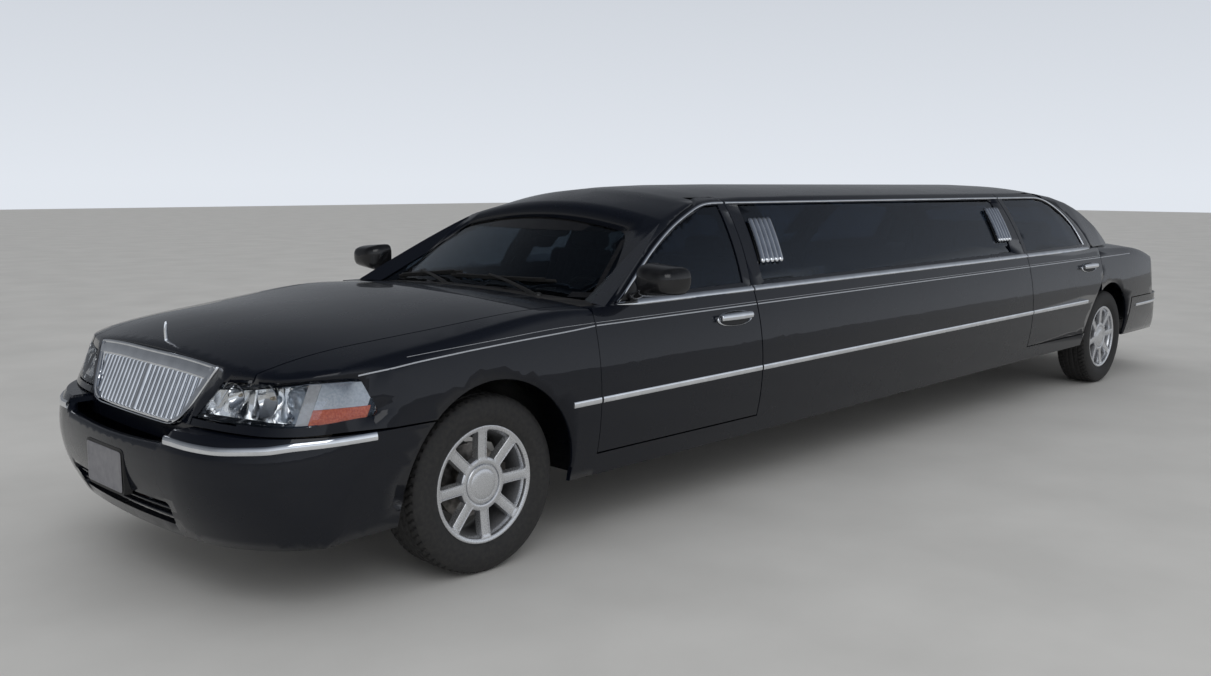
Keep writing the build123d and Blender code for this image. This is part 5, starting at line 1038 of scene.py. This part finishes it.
leather = surface("black_leather", (0.012, 0.012, 0.013), (0.030, 0.029, 0.028), 700.0, (0.38, 0.55), 0.35)
lean = leaning(16)
front_pads, plinths = [], []
for side in (1, -1):
    centre_y = side * 0.425
    ribs = np.linspace(-0.16, 0.16, 5)
    front_pads += [cushion((1.695, centre_y, 0.545), (1, 0, 0), (0, 1, 0), (0.515, 0.525, 0.125), 0.018, 70, (), ribs),
                   cushion((1.3985, centre_y, 0.850), lean, (0, -1, 0), (0.560, 0.505, 0.140), 0.016, 90, (0.19,),
                           ribs),
                   cushion((1.2960, centre_y, 1.176), lean, (0, -1, 0), (0.105, 0.250, 0.095), 0.010, 40)]
    plinths.append(block((1.400, centre_y - 0.225, 0.340), (1.925, centre_y + 0.225, 0.492), 0.04))
for centre_y in (0.365, 0.485, -0.485, -0.365):
    post = np.linspace((1.3300, centre_y, 1.05), (1.3010, centre_y, 1.15), 8)
    plinths.append(bar_along(post, (1.0, 0.0, 0.3), 0.006, 0.006))
made = piece("front_seat_cushions", front_pads, leather, "car", 1.2)
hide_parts("front_seats")
piece("front_seat_plinths", plinths, black_plastic, "car", 0.6)

rear_lean = leaning(15)
bench_pads = []
for centre_y in (-0.385, 0.0, 0.385):
    ribs = (-0.13, -0.045, 0.045, 0.13)
    bench_pads += [cushion((-2.300, centre_y, 0.712), (1, 0, 0), (0, 1, 0), (0.475, 0.388, 0.125), 0.016, 60, (), ribs),
                   cushion((-2.578, centre_y, 0.985), rear_lean, (0, -1, 0), (0.460, 0.388, 0.140), 0.016, 80, (0.15,),
                           ribs)]
channels = np.linspace(-0.90, 0.90, 19)
side_pads = [cushion((-0.1415, -0.500, 0.640), (1, 0, 0), (0, 1, 0), (1.935, 0.395, 0.125), 0.014, 240, channels),
             cushion((-0.1415, -0.760, 0.850), (1, 0, 0), (0, 0.12, 0.993), (1.935, 0.300, 0.110), 0.012, 240,
                     channels)]
side_bench = piece("side_bench_cushions", side_pads, leather, "car", 1.2)
made = piece("rear_bench_cushions", bench_pads, leather, "car", 1.2)
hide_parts("rear_seats")
piece("rear_seat_plinths", [block((-2.600, -0.560, 0.582), (-2.085, 0.560, 0.662), 0.03),
                            block((-1.100, -0.805, 0.340), (0.820, -0.335, 0.592), 0.03)],
      black_plastic, "car", 0.6)

# Cabin fittings: a grained vinyl dashboard with a gloss instrument panel, louvred vents and a radio panel, a
# leather-bound wheel, a padded partition with a pane let into it and a veneered drinks cabinet.
vinyl = surface("grained_vinyl", (0.016, 0.016, 0.017), (0.034, 0.033, 0.032), 900.0, (0.5, 0.68), 0.4)
dress("dashboard", vinyl)
dress("partition", vinyl)
dress("steering_wheel", leather)
dress("bar_cabinet", surface("walnut_veneer", (0.050, 0.020, 0.010), (0.190, 0.085, 0.040), 5.0, (0.12, 0.28), 0.05,
                             0.0, (1, 9, 9)))


def facing_driver(place_at):
    """Lays points (y, z) of a view from the driver on an upright panel, raised towards the driver."""
    return upright(lambda y, z, lift: place_at(z) - lift)


on_binnacle = facing_driver(lambda z: 2.2015 + (0.958 - z) * 0.127)
on_dash = facing_driver(lambda z: 2.2265 + (0.850 - z) * 0.11)
panel = oblong((0.222, 0.852), (0.538, 0.944), 0.016, 96)
slab = [(0, 0.0035), (0.94, 0.0035), (0.96, 0.0055), (0.99, 0.0050), (1.0, 0.002), (1.0, -0.003), (0, -0.003)]
piece("instrument_panel", [plate_on(panel, slab, on_binnacle)], pod_black, "car", 0.5)
dials, unit_ring = [], squared_oval(1, 1, (1, 1), 48)
dial_steps = ((0, 0.0030), (0, 0.0060), (0.0025, 0.0068), (0.0045, 0.0060), (0.0045, 0.0030))
for centre_y, radius in ((0.302, 0.034), (0.380, 0.038), (0.458, 0.034)):
    dials.append((np.stack([on_binnacle((centre_y, 0.898) + (radius - width) * unit_ring, lift)
                            for width, lift in dial_steps]), True, True))
    for bearing in np.radians(np.linspace(-30, 210, 9)):
        reach = np.linspace(0.62, 0.84, 5)[:, None] * radius
        tick = on_binnacle((centre_y, 0.898) + reach * (np.cos(bearing), np.sin(bearing)), 0.0035)
        dials.append(strip(tick, (-1.0, 0.0, 0.0), 0.0014, 0.0006, 0.0, 0.0006))
piece("dial_rings", dials, chrome, "car", 0.9)
fittings = []
vent_steps = [(0, 0.001), (0.80, 0.001), (0.82, 0.006), (0.97, 0.007), (1.0, 0.003), (1.0, -0.003), (0, -0.003)]
for low_y, high_y in ((-0.645, -0.535), (-0.235, -0.125), (0.115, 0.185), (0.585, 0.665)):
    fittings.append(plate_on(oblong((low_y, 0.792), (high_y, 0.842), 0.008, 64), vent_steps, on_dash))
    for z in (0.802, 0.812, 0.822, 0.832):
        louvre = on_dash(level_line(low_y + 0.010, high_y - 0.010, z, 12), 0.001)
        fittings.append(strip(louvre, (-1.0, 0.0, -0.5), 0.0030, 0.0045))
fittings.append(plate_on(oblong((-0.100, 0.770), (0.095, 0.845), 0.008, 80), slab, on_dash))
knob_steps = [(0, 0.016), (0.85, 0.016), (1.0, 0.013), (1.0, 0.003), (0, 0.003)]
for centre_y in (-0.080, 0.075):
    fittings.append(plate_on((centre_y, 0.808) + 0.0115 * unit_ring, knob_steps, on_dash))
piece("dash_fittings", fittings, black_plastic, "car", 0.6)
pane = oblong((-0.516, 1.014), (0.516, 1.326), 0.01, 120)
piece("partition_pane", [plate_on(pane, [(0, 1.1200), (1, 1.1200), (1, 1.1270), (0, 1.1270)], at_place)],
      screen_glass, "car", 0.5)

# Door cards: vinyl-covered boards clipped inside the doors, each with a padded armrest screwed on and a chromed
# release lever.
card_lines = {"front": ([(1.572, 0.43), (2.590, 0.43), (2.590, 0.975), (1.572, 0.975)],
                        (0.9013, 0.9125, 0.9070, 0.8790, 0.8540), 2.06),
              "rear": ([(-2.270, 0.43), (-1.515, 0.43), (-1.515, 0.985), (-2.620, 0.985), (-2.620, 0.76),
                        (-2.450, 0.60)], (0.8973, 0.9112, 0.9096, 0.8862, 0.8640), -2.02)}
for place, (edge, inner, rest_x) in card_lines.items():
    for side, hand in sides:
        body = f"{place}_{hand}_door"

        def on_card(flat, lift):
            """Lays points (x, z) on the door's inner face, raised into the cabin."""
            wall = np.interp(flat[:, 1], (0.45, 0.60, 0.75, 0.90, 0.98), inner)
            return np.stack([flat[:, 0], side * (wall - lift), flat[:, 1]], -1)

        card = rounded(edge, 0.025, 300)
        shares = [(share, 0.012) for share in np.linspace(0, 0.9, 12)] + [(0.97, 0.011), (1.0, 0.006), (1.0, -0.001)]
        shares += [(share, -0.001) for share in np.linspace(0.9, 0, 8)]
        piece(f"{hand}_{place}_door_card", [plate_on(card, shares, on_card)], vinyl, body, 0.6)
        rest = cushion((rest_x, side * 0.872, 0.690), (-side, 0, 0), (0, -side, 0), (0.460, 0.070, 0.062), 0.006, 44)
        made = piece(f"{hand}_{place}_armrest", [rest], leather, body, 1.2)
        lever = on_card(level_line(rest_x + 0.14, rest_x + 0.25, 0.800, 14), 0.020)
        post = on_card(np.repeat([(rest_x + 0.15, 0.800)], 6, 0), np.linspace(0.008, 0.021, 6))
        piece(f"{hand}_{place}_release_lever",
              [bar_along(lever, (0.0, -side, 0.0), 0.010, 0.004), bar_along(post, (1.0, 0.0, 0.0), 0.007, 0.007)],
              chrome, body, 0.9)


# Studio: a plain pale floor and a soft overhead panel; the room is pale where the camera, metal and glass look
# at it and a little darker overhead, as under a dark ceiling. The camera stands where the photographer stood.
floor_mesh = bpy.data.meshes.new("floor")
floor_mesh.from_pydata([(-60, -60, 0), (60, -60, 0), (60, 60, 0), (-60, 60, 0)], [], [(0, 1, 2, 3)])
floor_mesh.materials.append(surface("studio_floor", (0.60, 0.60, 0.59), (0.66, 0.66, 0.65), 1.5, (0.7, 0.85)))
floor = bpy.data.objects.new("floor", floor_mesh)
bpy.context.scene.collection.objects.link(floor)

world = bpy.data.worlds.new("studio")
bpy.context.scene.world = world
world.use_nodes = True
tree = world.node_tree
backdrop = tree.nodes["Background"]
direction = add(tree, "TexCoord")
axes = add(tree, "SeparateXYZ")
room = ramp(tree, (0, (0.76, 0.80, 0.86)), (0.75, (0.15, 0.17, 0.21)))
soft_light = add(tree, "Background", {"Color": (1, 1, 1, 1), "Strength": 0.62})
paths = add(tree, "LightPath")
seen, seen_through = add(tree, "Math"), add(tree, "Math")
seen.operation = seen_through.operation = "MAXIMUM"
choose = add(tree, "MixShader")
# What metal, paint and glass mirror: the same room, dim towards the front and the right, bright towards the left
facing_left = add(tree, "MapRange", {"From Min": -0.25, "From Max": 0.75, "To Min": 0.30, "To Max": 1.15})
all_round = add(tree, "Mix", {2: 1.0})
join(tree, (direction, "Generated", axes, "Vector"), (axes, "Z", room, "Fac"), (room, "Color", backdrop, "Color"),
     (axes, "Y", facing_left, "Value"), (facing_left, "Result", all_round, 3), (paths, "Is Glossy Ray", all_round, 0),
     (all_round, 0, backdrop, "Strength"), (paths, "Is Camera Ray", seen, 0), (paths, "Is Glossy Ray", seen, 1),
     (seen, "Value", seen_through, 0), (paths, "Is Transmission Ray", seen_through, 1),
     (seen_through, "Value", choose, "Fac"), (soft_light, "Background", choose, 1),
     (backdrop, "Background", choose, 2), (choose, "Shader", tree.nodes["World Output"], "Surface"))


def looking(place, yaw, pitch, roll):
    """A camera's matrix from where it stands and its yaw, pitch and roll in degrees; it looks down its own -Z."""
    yaw, pitch, roll = np.radians((yaw, pitch, roll))
    ahead = np.array([np.cos(pitch) * np.cos(yaw), np.cos(pitch) * np.sin(yaw), np.sin(pitch)])
    right = np.cross(ahead, (0, 0, 1))
    right /= np.linalg.norm(right)
    up = np.cross(right, ahead)
    columns = [np.cos(roll) * right + np.sin(roll) * up, np.cos(roll) * up - np.sin(roll) * right, -ahead, place]
    return Matrix([*np.transpose(columns).tolist(), [0, 0, 0, 1]])


camera = bpy.data.objects.new("photo_camera", bpy.data.cameras.new("photo_camera"))
bpy.context.scene.collection.objects.link(camera)
camera.data.lens = 33.44
camera.data.clip_end = 200
camera.matrix_world = looking((5.8665, 4.176, 1.503), -135.58, -7.87, 0.17)
bpy.context.scene.camera = camera
overhead = bpy.data.objects.new("overhead_panel", bpy.data.lights.new("overhead_panel", "AREA"))
bpy.context.scene.collection.objects.link(overhead)
overhead.data.size = 7
overhead.data.energy = 260
overhead.matrix_world = looking((8, 9, 8), -131.6, -31.9, 0)
bpy.context.scene.view_settings.view_transform = "Standard"
